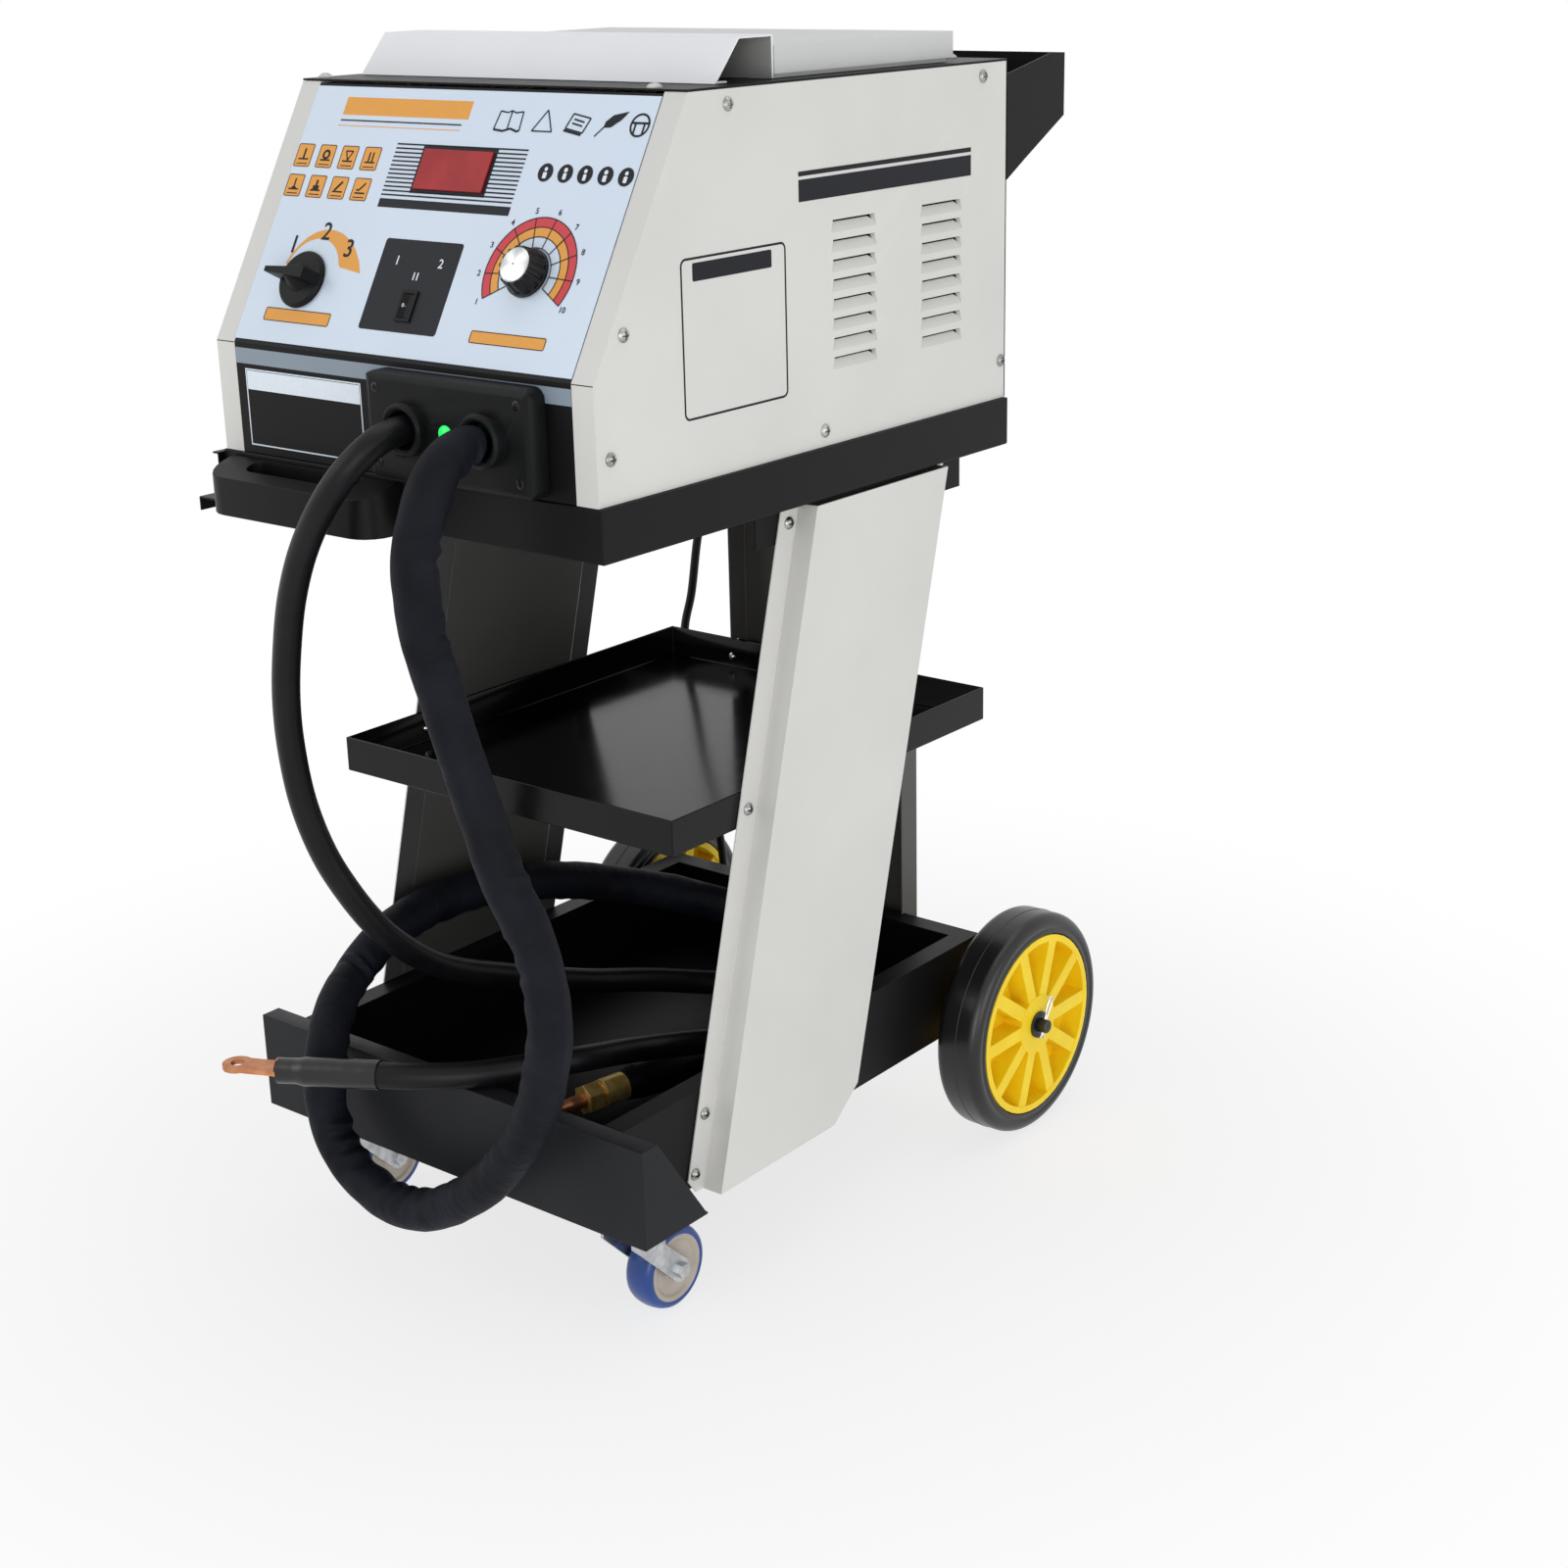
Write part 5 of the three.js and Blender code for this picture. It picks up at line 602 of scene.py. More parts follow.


# Cords

# Routes as in the part's source: points listed on the machine, in millimetres
GROUND_RADIUS = 10.5
GROUND_POINTS = [
    (28.5, -0.5, 695), (28.5, -25, 695), (28, -46, 691), (17, -64, 674), (-4, -71, 647),
    (-29, -71, 612), (-50, -68, 573), (-65, -64, 533), (-76, -60, 492), (-83, -54, 451),
    (-84, -46, 402), (-80, -34, 359), (-74, -21, 328), (-68, -1, 294), (-65, 24, 266),
    (-64, 64, 235), (-58, 134, 203), (-40, 209, 176), (-20, 268, 161), (15, 316, 150),
    (60, 345, 152), (110, 345, 153), (143, 310, 153), (141, 262, 153), (115, 232, 153),
    (88, 205, 155), (77, 176, 160), (74, 130, 172), (71, 65, 187), (52, 30, 189.4),
    (30, 0, 189.4), (-5, -28, 189.2), (-47, -50, 188), (-83, -66, 186),
]
SLEEVE_RADIUS = 16.5
SLEEVE_POINTS = [
    (103.5, -26, 695), (103.5, -34, 695), (104.5, -52, 689.5), (103.5, -66, 675.5),
    (98.5, -74.5, 652), (91, -77, 625), (86, -72, 594), (87, -68, 558), (94, -64, 523), (106, -61, 481),
    (119, -58, 440), (137, -56, 391), (156, -54, 358), (167, -53, 323), (168, -52, 277),
    (155, -51, 227), (135, -50, 189), (99, -48, 144), (58, -46, 110), (9, -43, 84),
    (-34, -41, 81), (-72, -38, 93), (-96, -36, 119), (-105, -33, 152), (-108, -25, 184),
    (-121, 0, 208), (-139, 38, 220), (-144, 74, 236), (-147, 124, 244), (-144, 179, 244),
    (-126, 254, 234), (-110, 319, 214), (-72, 380, 190), (-30, 425, 164), (20, 440, 142),
    (62, 420, 128), (80, 374, 122), (78, 318, 121), (66, 268, 121), (60, 240, 121),
]
MAINS_RADIUS = 4
COIL_CENTRE = (-92, 526)
COIL_INNER, COIL_TURNS, COIL_STEPS, COIL_DIP = 31, 3, 24, 3
COIL_PITCH = MAINS_RADIUS * 2 + 0.6
COIL_OUTER = COIL_INNER + COIL_TURNS * COIL_PITCH
COIL_LIFT = MAINS_RADIUS + GAP
TAIL = MAINS_RADIUS * 3
MAINS_POINTS = [
    (-145, 500, 690), (-145, 506, 690), (-145, 512, 690), (-146, 530, 680),
    (-147, 540, 650), (-150, 535, 590), (-155, 520, 530), (-160, 511, 485), (-167, 508, 433),
    (-178, 509, 394), (-181, 517, 330), (-177, 530, 262), (-170, 540, 190), (-166, 542, 120),
    (-167, 530, 62), (-166, 505, 24), (-152, 480, 8),
]


def coil_points():
    """Two layers: the radius shrinks evenly on the floor, the cord climbs half a turn at the inside while
    the radius dips as a sine, then the radius grows evenly on the second layer; ends run on straight."""
    half = COIL_STEPS // 2
    k, c = np.arange(COIL_TURNS * COIL_STEPS + 1), np.arange(1, half)
    grow = COIL_PITCH * k / COIL_STEPS
    dip = COIL_DIP * np.sin(np.pi * c / half)
    radius = np.concatenate([COIL_OUTER - grow, COIL_INNER - dip, COIL_INNER + grow])
    z = COIL_LIFT + COIL_PITCH * np.concatenate([0.0 * k, c / half, 0.0 * k + 1])
    t = -np.pi / 2 + np.arange(len(radius)) * TAU / COIL_STEPS
    x, y = COIL_CENTRE
    loops = np.column_stack([x + radius * np.cos(t), y + radius * np.sin(t), z])
    lead_in = loops[0] - [2 * TAIL + GAP, 0, 0]
    return np.vstack([lead_in, loops[0] - [TAIL, 0, 0], loops, loops[-1] - [TAIL, 0, 0]])


def smooth_route(points, per_span=12):
    """A centripetal Catmull-Rom curve through the points, whole arrays at once: on each span the four
    neighbours are blended linearly three times, at knots spaced by the square root of the distance."""
    p = np.asarray(points, float)
    p = np.vstack([2 * p[0] - p[1], p, 2 * p[-1] - p[-2]])
    a, b, c, d = p[:-3], p[1:-2], p[2:-1], p[3:]
    gap = [np.sqrt(np.linalg.norm(v - u, axis=1)) for u, v in ((a, b), (b, c), (c, d))]
    t1 = gap[0]
    t2 = t1 + gap[1]
    t3 = t2 + gap[2]
    share = np.linspace(0, 1, per_span, endpoint=False)
    t = (t1[:, None] + share * gap[1][:, None])[..., None]
    t0, t1, t2, t3 = (v[:, None, None] for v in (0 * t1, t1, t2, t3))
    a, b, c, d = (v[:, None, :] for v in (a, b, c, d))

    def blend(u, v, start, end):
        """Goes evenly from u at one knot to v at another."""
        return ((end - t) * u + (t - start) * v) / (end - start)

    ab, bc, cd = blend(a, b, t0, t1), blend(b, c, t1, t2), blend(c, d, t2, t3)
    curve = blend(blend(ab, bc, t0, t2), blend(bc, cd, t1, t3), t1, t2)
    return np.vstack([curve.reshape(-1, 3), p[-2]])


def distances(route):
    """How far along the line each of its points lies."""
    return np.concatenate([[0], np.cumsum(np.linalg.norm(np.diff(route, axis=0), axis=1))])


def evenly(route, step):
    """The same line resampled at an even step, and how far along it each point lies."""
    along = distances(route)
    n = max(int(round(along[-1] / step)), 2)
    at = np.linspace(0, along[-1], n + 1)
    return np.column_stack([np.interp(at, along, route[:, k]) for k in range(3)]), at


def turning_frames(route):
    """Two unit vectors square to the line at each point, carried along it with the least turn."""
    tangent = np.gradient(route, axis=0)
    tangent /= np.linalg.norm(tangent, axis=1)[:, None]
    side = np.zeros_like(route)
    side[0] = np.cross(tangent[0], [0.3, 0.2, 1.0])
    side[0] /= np.linalg.norm(side[0])
    for k in range(1, len(route)):
        side[k] = side[k - 1] - tangent[k] * (side[k - 1] @ tangent[k])
        side[k] /= np.linalg.norm(side[k])
    return side, np.cross(tangent, side)


def spokes_out(route, sides):
    """Unit vectors out of a tube: one for each point of its line and each side."""
    side, other = turning_frames(route)
    t = (np.arange(sides) * TAU / sides)[None, :, None]
    return side[:, None] * np.cos(t) + other[:, None] * np.sin(t)


def add_tube(name, route, radius, sides, material, body=ROOT):
    """A circle of the given radius, one number or a table of point by side, carried along the route.
    UV is in millimetres: along the tube and round it."""
    reach = np.broadcast_to(np.asarray(radius, float), (len(route), sides))[..., None]
    points = route[:, None] + reach * spokes_out(route, sides)
    quads, i, j = grid(len(route), sides)
    uv = np.stack([distances(route)[i], j * TAU * float(np.mean(reach)) / sides], -1).reshape(-1, 2)
    last = (len(route) - 1) * sides
    faces = quads.tolist() + [list(range(sides))[::-1], list(range(last, last + sides))]
    uv = np.vstack([uv, np.zeros((2 * sides, 2))])
    return add_piece(name, points.reshape(-1, 3), faces, material, body, uv, "along_and_round")


# How the short waves weaken, and the strength and the rate of each wave's second, turning part
WAVE_FALL, WAVE_SECOND, SECOND_RATE = 0.6, 0.5, 0.7


def waves(along, sides, seed, terms, longest, shortest, twist):
    """Uneven relief: sines along the tube and round it with seeded phases, each weighted by its length."""
    chance = np.random.default_rng(seed)
    t = np.arange(sides)[None] * TAU / sides
    total = np.zeros((len(along), sides))
    for length in np.geomspace(longest, shortest, terms):
        turns = chance.integers(0, twist + 1)
        phase = chance.uniform(0, TAU, 2)
        weight = (length / longest) ** WAVE_FALL
        run = along[:, None] * TAU / length
        total += weight * np.sin(run + turns * t + phase[0])
        total += WAVE_SECOND * weight * np.cos(SECOND_RATE * run - (turns + 1) * t + phase[1])
    return total / terms


ground_route, ground_along = evenly(smooth_route(GROUND_POINTS), 6)
ground = add_tube("ground_cable_jacket", ground_route, GROUND_RADIUS, 24, CABLE_RUBBER)
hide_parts("ground_cable")

sleeve_route, sleeve_along = evenly(smooth_route(SLEEVE_POINTS), 2.6)
SLEEVE_SIDES, SLEEVE_CRUMPLE = 36, 0.14
FOLD_PITCH, FOLD_DEPTH, FOLD_GAIN = 23, 0.17, 3.0
FOLD_WANDER, WANDER_LENGTH, FOLD_SKEW, SKEW_START = 1.7, 83, 0.9, 0.6
NECK_SHARE, NECK_LENGTH, NECK_POWER = 0.72, 46, 0.8


def bend_folds(route, along, sides):
    """Folds where cloth is pressed together: zero outside a bend, growing with its tightness and with how
    squarely the side looks to the bend's centre, times a wave along the tube whose phase wanders and is
    skewed round it."""
    t = np.arange(sides) * TAU / sides
    tangent = np.gradient(route, along, axis=0)
    bend = np.gradient(tangent, along, axis=0) * SLEEVE_RADIUS * FOLD_GAIN
    facing = np.clip(np.einsum("nsk,nk->ns", spokes_out(route, sides), bend), 0, 1)
    phase = along * TAU / FOLD_PITCH + FOLD_WANDER * np.sin(along * TAU / WANDER_LENGTH)
    skew = FOLD_SKEW * np.sin(2 * t + SKEW_START)
    return facing * np.sin(phase[:, None] + skew[None])


sleeve_relief = waves(
    sleeve_along, SLEEVE_SIDES, seed=11, terms=10, longest=190, shortest=20, twist=3
)
sleeve_folds = bend_folds(sleeve_route, sleeve_along, SLEEVE_SIDES)
sleeve_neck = np.clip(sleeve_along / NECK_LENGTH, 0, 1)[:, None] ** NECK_POWER
sleeve_swell = 1 + SLEEVE_CRUMPLE * sleeve_relief + FOLD_DEPTH * sleeve_folds
sleeve_radius = SLEEVE_RADIUS * sleeve_swell * (NECK_SHARE + (1 - NECK_SHARE) * sleeve_neck)
sleeve = add_tube("welding_cable_sleeve", sleeve_route, sleeve_radius, SLEEVE_SIDES, SLEEVE_CLOTH)
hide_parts("gun_cable")

mains_curve = smooth_route(np.vstack([MAINS_POINTS, coil_points()]), 10)
mains_route, mains_along = evenly(mains_curve, 2.5)
mains = add_tube("mains_lead", mains_route, MAINS_RADIUS, 12, CABLE_RUBBER)
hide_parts("mains_cord", "cord_coil")


# What is on the cords


def run_on(route, length):
    """The line with a straight piece of this length added at its end."""
    ahead = route[-1] - route[-2]
    return np.vstack([route, route[-1] + ahead / np.linalg.norm(ahead) * length])


# The boot shrunk over the cable's end and the lug's barrel, narrower on the barrel
BOOT_BACK, BOOT_AHEAD, BOOT_WALL, BOOT_STEP, BOOT_SIDES = 62, 25, 1.1, 8, 28
BOOT_NARROWING, BOOT_CRUMPLE = 0.12, 0.35
cable_end = ground_route[ground_along > ground_along[-1] - BOOT_BACK]
boot_route, boot_along = evenly(run_on(cable_end, BOOT_AHEAD), 2)
boot_shrink = np.clip((boot_along - BOOT_BACK) / BOOT_STEP, 0, 1)[:, None]
boot_lumps = waves(boot_along, BOOT_SIDES, seed=5, terms=6, longest=40, shortest=9, twist=3)
boot_radius = (GROUND_RADIUS + BOOT_WALL) * (1 - BOOT_NARROWING * boot_shrink) + BOOT_CRUMPLE * boot_lumps
boot = add_tube("ground_cable_boot", boot_route, boot_radius, BOOT_SIDES, HEAT_SHRINK)
lug = dress("ground_lug", COPPER, 0.6)

gun_handle = dress("gun_handle", HANDLE_ABS, 0.8, sharp_angle=25)
gun_chuck = dress("gun_chuck", BRASS, 0.5)
gun_tip = dress("gun_tip", COPPER, 0.3)

# The strain relief: a cone with square ribs round the mains cord
RELIEF_START, RELIEF_LENGTH, RELIEF_RIBS, RELIEF_SIDES = 7, 30, 7, 20
RELIEF_RADIUS, RELIEF_TAPER, RIB_DEPTH = 7.4, 2.3, 0.5
in_relief = (mains_along > RELIEF_START) & (mains_along < RELIEF_START + RELIEF_LENGTH)
relief_route, relief_along = evenly(mains_route[in_relief], 0.8)
relief_share = (relief_along / relief_along[-1])[:, None] + np.zeros(RELIEF_SIDES)
groove = np.sin(relief_share * RELIEF_RIBS * TAU) > 0
relief_radius = RELIEF_RADIUS - RELIEF_TAPER * relief_share - RIB_DEPTH * groove
relief = add_tube("mains_strain_relief", relief_route, relief_radius, RELIEF_SIDES, CABLE_RUBBER)
dress("mains_gland", HANDLE_ABS, 0.4)
plug = dress("mains_plug", HANDLE_ABS, 0.8)


# Cart

# Dressed nodes: nodes, material, width of the rounded edges in millimetres, slot
for nodes, material, width, slot in (
    ("front_bar", BAR_COAT_PAINTED_LIGHT, 1.2, "frame_black"),
    ("base_tray", BLACK_COAT, 0.8, "frame_black"),
    ("leg_post_left leg_post_right", POST_COAT_PAINTED_LIGHT, 0.6, "frame_black"),
    ("leg_cover_left leg_cover_right", WHITE_COAT, 0.9, "case_white"),
    ("middle_shelf", GLOSS_BLACK, 0.9, "shelf_black"),
    ("rear_column", POST_COAT_PAINTED_LIGHT, 0.7, "frame_black"),
    ("top_tray", BLACK_COAT, 1.2, "frame_black"),
    ("tray_subframe", BLACK_COAT, 0.7, "frame_black"),
    ("tool_rail", BLACK_COAT, 0.5, "frame_black"),
    ("wheel_washer_left wheel_washer_right", DARK_STEEL, 0.3, "steel_zinc"),
    ("caster_plate_left caster_plate_right", ZINC, 0.4, "steel_zinc"),
    ("caster_fork_left caster_fork_right", ZINC, 0.6, "steel_zinc"),
    ("case_side_left case_side_right", WHITE_COAT, 0.4, "case_white"),
    ("front_panel", BLACK_COAT, 0.5, "frame_black"),
    ("panel_overlay", FILM, 0, "panel_blue"),
    ("case_top case_base case_rear", BLACK_COAT, 0.4, "frame_black"),
    ("top_hood", HOOD_COAT_PAINTED_LIGHT, 0.7, "case_white"),
    ("top_lid", LID_COAT, 0.9, "case_white"),
    ("rear_bin", BLACK_COAT, 0.6, "frame_black"),
    ("gland_box", BLACK_ABS, 1.1, "handle_black"),
    ("indicator_lamp", LAMP_LENS, 0.3, "lamp_green"),
    ("display_window", RED_WINDOW, 0.3, "display_red"),
    ("selector_knob", SELECTOR_PHENOLIC, 0.9, "knob_black"),
    ("timer_knob", KNOB_PHENOLIC, 0.35, "knob_black"),
    ("rocker_housing", BLACK_ABS, 0.4, "knob_black"),
    ("rocker_key", BLACK_ABS, 0.3, "knob_black"),
):
    for node in nodes.split():
        dress(node, material, width)
# Painted shade: the leg covers' faces that look inwards get the dark grey
for side, sign in SIDES:
    paint_shade_facing(bpy.data.objects[f"leg_cover_{side}_sheet"], LEG_INSIDE_SHADE, (-sign, 0, 0))
dress("pull_handle", HANDLE_ABS, 2.6, segments=4)
dress("axle", DARK_STEEL, 0)

# Nodes that keep their own mesh
for node, material in (
    ("selector_switch", BLACK_ABS),
    ("timer_control", ZINC),
    ("transformer_core", DARK_STEEL),
    ("primary_winding", VARNISH),
    ("secondary_winding", COPPER),
    ("control_board", BOARD),
    ("thyristor_heatsink", ALUMINIUM),
):
    frame["nodes"][node].data.materials.clear()
    frame["nodes"][node].data.materials.append(material)


def whole_profile(half):
    """A closed profile from its lower half: the half, its mirror image backwards, its first point again."""
    half = np.asarray(half, float)
    return np.vstack([half, half[half[:, 1] < 0][::-1] * [1, -1], half[:1]])


# Rear wheels: the tyre's lower half runs from its seat in the rim by a groove in the wall to the tread
WHEEL_RADIUS, WHEEL_WIDTH, WHEEL_X, WHEEL_Y, RIM_RADIUS = 100, 42.4, 208.3, 496.9, 81.4
AXLE_END, PIN_INSET, PIN_WIRE = 240, 4.5, 1.0
TREAD, EDGE, SHOULDER = WHEEL_RADIUS - 0.4, WHEEL_WIDTH / 2, 9
TYRE_HALF = [
    [(RIM_RADIUS + GAP, -EDGE + 1.5), (RIM_RADIUS + 1.2, -EDGE + 0.2), (84.5, -EDGE)],
    [(86.0, -EDGE + 0.7), (87.6, -EDGE + 0.7), (89.0, -EDGE)],
    arc(TREAD - SHOULDER, -EDGE + SHOULDER, SHOULDER, -90, 0, 10),
    [(TREAD, -0.8), (WHEEL_RADIUS, -0.35)],
]
# One loop of wire through the axle: (y, z) from the axle's middle
PIN_LINE = [
    (-6.5, -10), (-3.4, -7.4), (2.6, 6.5), (4.6, 14), (9.2, 22.6), (12.8, 23.4), (12.6, 18.5),
    (8.2, 11.4), (4.4, 5.7), (-1.6, -8.2), (0.8, -11.6),
]
for side, sign in SIDES:
    centre, body = (sign * WHEEL_X, WHEEL_Y, WHEEL_RADIUS), f"wheel_{side}"
    profile = whole_profile(np.vstack(TYRE_HALF))
    tyre = add_turned(f"tyre_{side}", profile, 128, centre, AXLE_WAY, TYRE_RUBBER, body)
    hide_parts(f"wheel_tyre_{side}")
    dress(f"wheel_rim_{side}", YELLOW_PP, 0.9)
    middle = [sign * (AXLE_END - PIN_INSET), WHEEL_Y, WHEEL_RADIUS]
    pin_line = np.array([(0, y, z) for y, z in PIN_LINE]) + middle
    pin = add_tube(f"split_pin_{side}", smooth_route(pin_line, 8), PIN_WIRE, 10, NICKEL)

# Caster wheels: blue tread on a pale hub
CASTER_X, CASTER_Y, CASTER_RADIUS, CASTER_HALF, CASTER_BORE, HUB = 158.5, 71.2, 35, 13, 4.3, 27.5
TREAD_HALF = [
    (HUB, -CASTER_HALF + 0.6), (HUB + 1, -CASTER_HALF), (30, -CASTER_HALF), (32.6, -11.2),
    (34, -8), (34.7, -4), (CASTER_RADIUS, 0),
]
HUB_HALF = [
    (CASTER_BORE, -CASTER_HALF), (9, -CASTER_HALF), (10, -12), (12, -10.5), (22, -10.5),
    (24, -12.2), (HUB, -12.4),
]
for side, sign in SIDES:
    centre, body = (sign * CASTER_X, CASTER_Y, CASTER_RADIUS), f"caster_roller_{side}"
    profile = whole_profile(TREAD_HALF)
    tread = add_turned(f"caster_tread_{side}", profile, 72, centre, AXLE_WAY, BLUE_PU, body)
    profile = whole_profile(HUB_HALF)
    add_turned(f"caster_hub_{side}", profile, 48, centre, AXLE_WAY, PALE_NYLON, body)
    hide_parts(f"caster_wheel_{side}")


# Screws

SCREW_RINGS, SCREW_STEPS, DOME_POWER, HEAD_SUNK = 12, 48, 2.4, 0.05
# Shares of the rise: the wall's height and the cross's depth; shares of the radius: the cross's half
# width and its reach
WALL_SHARE, CROSS_DEPTH, CROSS_WIDTH, CROSS_REACH = 0.35, 0.75, 0.125, 0.6


def screw_points(radius, rise):
    """A low dome, rise times one less the radius's share to a power, over a short wall. A cross is sunk
    into it where |x| or |y| is within the cross's half width and r is within its reach."""
    r = np.concatenate([np.linspace(0, 1, SCREW_RINGS), [1.0]]) * radius
    t = np.arange(SCREW_STEPS) * TAU / SCREW_STEPS
    x, y = r[:, None] * np.cos(t), r[:, None] * np.sin(t)
    z = rise * (1 - (r / radius) ** DOME_POWER)[:, None] + 0 * x + WALL_SHARE * rise
    cross = np.minimum(abs(x), abs(y)) < CROSS_WIDTH * radius
    cross &= np.hypot(x, y) < CROSS_REACH * radius
    z = np.where(cross, z - CROSS_DEPTH * rise, z)
    z[-1] = -HEAD_SUNK
    return np.stack([x, y, z], -1).reshape(-1, 3), grid(len(r), SCREW_STEPS)[0]


def add_screws(name, places, radius, rise, axis, material=NICKEL):
    """Cross-head screws at their places, all facing one way, as one piece."""
    head, quads = screw_points(radius, rise)
    turn = frame_of(axis)
    points = [head @ turn + np.asarray(centre, float) for centre in places]
    floor = np.arange(len(head) - SCREW_STEPS, len(head))[::-1]
    faces = [quad for k in range(len(places)) for quad in (quads + k * len(head)).tolist()]
    faces += [(floor + k * len(head)).tolist() for k in range(len(places))]
    add_piece(name, np.concatenate(points), faces, material)


CASE_SCREWS = [
    (147.5, 908.5), (458.6, 908.9), (31.5, 766.9), (13.9, 685.9), (251.1, 666.3), (486.0, 684.9),
]
LEG_FACE, LEG_SCREWS = 177.3, [(222.7, 599.8), (165.7, 388.9), (103.2, 157.6), (89.4, 110.9)]
TOP_SCREWS = [(-180, 118), (156, 112.8), (-180, 484), (143, 484)]
REAR_SCREWS = [(-180, 668), (-180, 780), (180, 668), (180, 780), (0, 668)]
for side, sign in SIDES[::-1]:
    for part, face, places, radius, rise in (
        ("case", CASE_HALF, CASE_SCREWS, 5.0, 2.4),
        ("leg", LEG_FACE, LEG_SCREWS, 4.9, 2.8),
    ):
        centres = [(sign * face, y, z) for y, z in places]
        add_screws(f"{part}_screws_{side}", centres, radius, rise, (sign, 0, 0), SCREW_STEEL)
centres = [(x, y, CASE_TOP) for x, y in TOP_SCREWS]
add_screws("top_sheet_screws", centres, 5.4, 2.6, (0, 0, 1), WHITE_COAT)
centres = [(x, -16.1, z) for x in (-3, 135) for z in (721.5, 668)]
add_screws("gland_box_screws", centres, 3.6, 0.9, (0, -1, 0), KNOB_PHENOLIC)
add_screws("shelf_screw_rear", [(-101.6, 486.7, 386.6)], 3.6, 2.0, (0, -1, 0))
add_screws("shelf_screw_side", [(-173.5, 167.4, 388.5)], 3.6, 2.0, (1, 0, 0))
add_screws("rear_panel_screws", [(x, 493, z) for x, z in REAR_SCREWS], 4.0, 2.0, (0, 1, 0))


# Prints on the panel: places in millimetres across it and up its slope

# The dial: radii of its rings, and ten marks from the lower left round to the lower right
DIAL_X, DIAL_S, RING = 103, 73, (19.2, 27.2, 34.3, 41.5)
DIAL_FROM, DIAL_TO, DIAL_STARTS, DIAL_SPAN, DIAL_LINE = -30, 210, (-30, 50, 130), 80, 0.75
DIAL_ANGLES = np.radians(np.linspace(DIAL_TO, DIAL_FROM, 10))
# The amber crescent above the selector: its outer edge, its tip and its inner arc
crescent = np.concatenate(
    [
        [(-143, 64), (-139, 73), (-134, 79.8), (-128, 85.6), (-121, 89.9), (-112, 92.6)],
        [(-102, 92.9), (-92, 90.8), (-82.5, 86.2), (-74, 79.8), (-66.5, 71.3), (-61, 61.8)],
        [(-84, 65)],
        arc(-113, 57, 28.6, 20, 166, 16),
    ]
)
# The banner at the top left and the two lines under it
BANNER = (-134.5, -3, 183.5, 197.5)
LINE_DARK, LINE_AMBER = (-134.5, -8, 178.6, 179.6), (-136, -8, 174.6, 175.2)
TILE_LEFTS, TILE_WIDTH, TILE_ROWS = (-170.2, -146.2, -122.0, -97.8), 17.4, ((140.6, 159.0), (116.8, 134.5))
TILE_CORNER, LABEL_CORNER = 1.6, 1.8
tiles = [(x, x + TILE_WIDTH, *row) for row in TILE_ROWS for x in TILE_LEFTS]
labels = [(-147, -76.5, 19, 29.3), (67, 138.5, 19.6, 28.8)]


def dial_band(inner, outer):
    """Three sectors of the dial between two radii."""
    return [sector(DIAL_X, DIAL_S, inner, outer, a, a + DIAL_SPAN, 18) for a in DIAL_STARTS]


panel_print(
    "print_amber",
    [box_outline(*BANNER), crescent]
    + dial_band(RING[1], RING[2])
    + [box_outline(*tile, TILE_CORNER) for tile in tiles]
    + [box_outline(*label, LABEL_CORNER) for label in labels],
    INK_AMBER,
)
panel_print("print_red", dial_band(RING[2], RING[3]), INK_RED)
SWITCH_PLATE, BAR_BELOW_DISPLAY = (-45, 33.5, 21, 90.5, 2.5), (-66, 66, 113.5, 120.2)
panel_print("print_charcoal", [box_outline(*SWITCH_PLATE), box_outline(*BAR_BELOW_DISPLAY)], INK_PLATE_AND_HOOD_SHADE)

middle = np.array([DIAL_X, DIAL_S])
rays = [np.array([np.cos(t), np.sin(t)]) for t in DIAL_ANGLES]
spokes = [stroke(middle + RING[0] * ray, middle + RING[3] * ray, DIAL_LINE) for ray in rays]
rings = [ring_outlines(*middle, radius, DIAL_LINE, DIAL_FROM, DIAL_TO) for radius in RING]
# The display's frame, and stripes round it: whole above and below it, in two parts beside it
DISPLAY_FRAME = (-38, 37, 125.6, 162.4, 4.2)
STRIPE_ROWS, STRIPE, STRIPE_LEFT, STRIPE_RIGHT = np.arange(122.6, 164, 3.28), 1.15, -66, 65.5
GAP_LEFT, GAP_RIGHT, GAP_LOW, GAP_HIGH = -36.6, 35.6, 127, 160
beside = (STRIPE_ROWS > GAP_LOW) & (STRIPE_ROWS < GAP_HIGH)
stripes = [
    box_outline(STRIPE_LEFT, GAP_LEFT if cut else STRIPE_RIGHT, s, s + STRIPE)
    for s, cut in zip(STRIPE_ROWS, beside)
]
stripes += [box_outline(GAP_RIGHT, STRIPE_RIGHT, s, s + STRIPE) for s in STRIPE_ROWS[beside]]
tile_lines = [line for tile in tiles for line in border(*tile, 0.55, TILE_CORNER)]
# Plain marks of eight ways to pull: outlines about the middle of a tile, over a line for the sheet
PLATE = box_outline(-5.2, 5.2, -3.6, -2.4)
TILE_GLYPHS = [
    [box_outline(-0.9, 0.9, -2.4, 5.4), PLATE],
    ring_outlines(0, 1.4, 3, 1.9) + [PLATE],
    strokes([(-3.8, 5), (3.8, 5), (0, -2.2)], 1.1, closed=True) + [PLATE],
    [box_outline(-2.6, -1.2, -2.4, 5), box_outline(1.2, 2.6, -2.4, 5), PLATE],
    [box_outline(-0.7, 0.7, -2.4, 5.4), box_outline(-2.4, 2.4, -2.4, -1.2), PLATE],
    [box_outline(-3.2, 3.2, -2.4, 0.8), box_outline(-1, 1, 0.8, 5.2), PLATE],
    [stroke((-3.4, -2.2), (3.2, 5), 1.9), PLATE],
    strokes([(-4.2, -0.6), (-1.4, -0.6), (3.8, 5)], 1.4) + [PLATE],
]
tile_marks = []
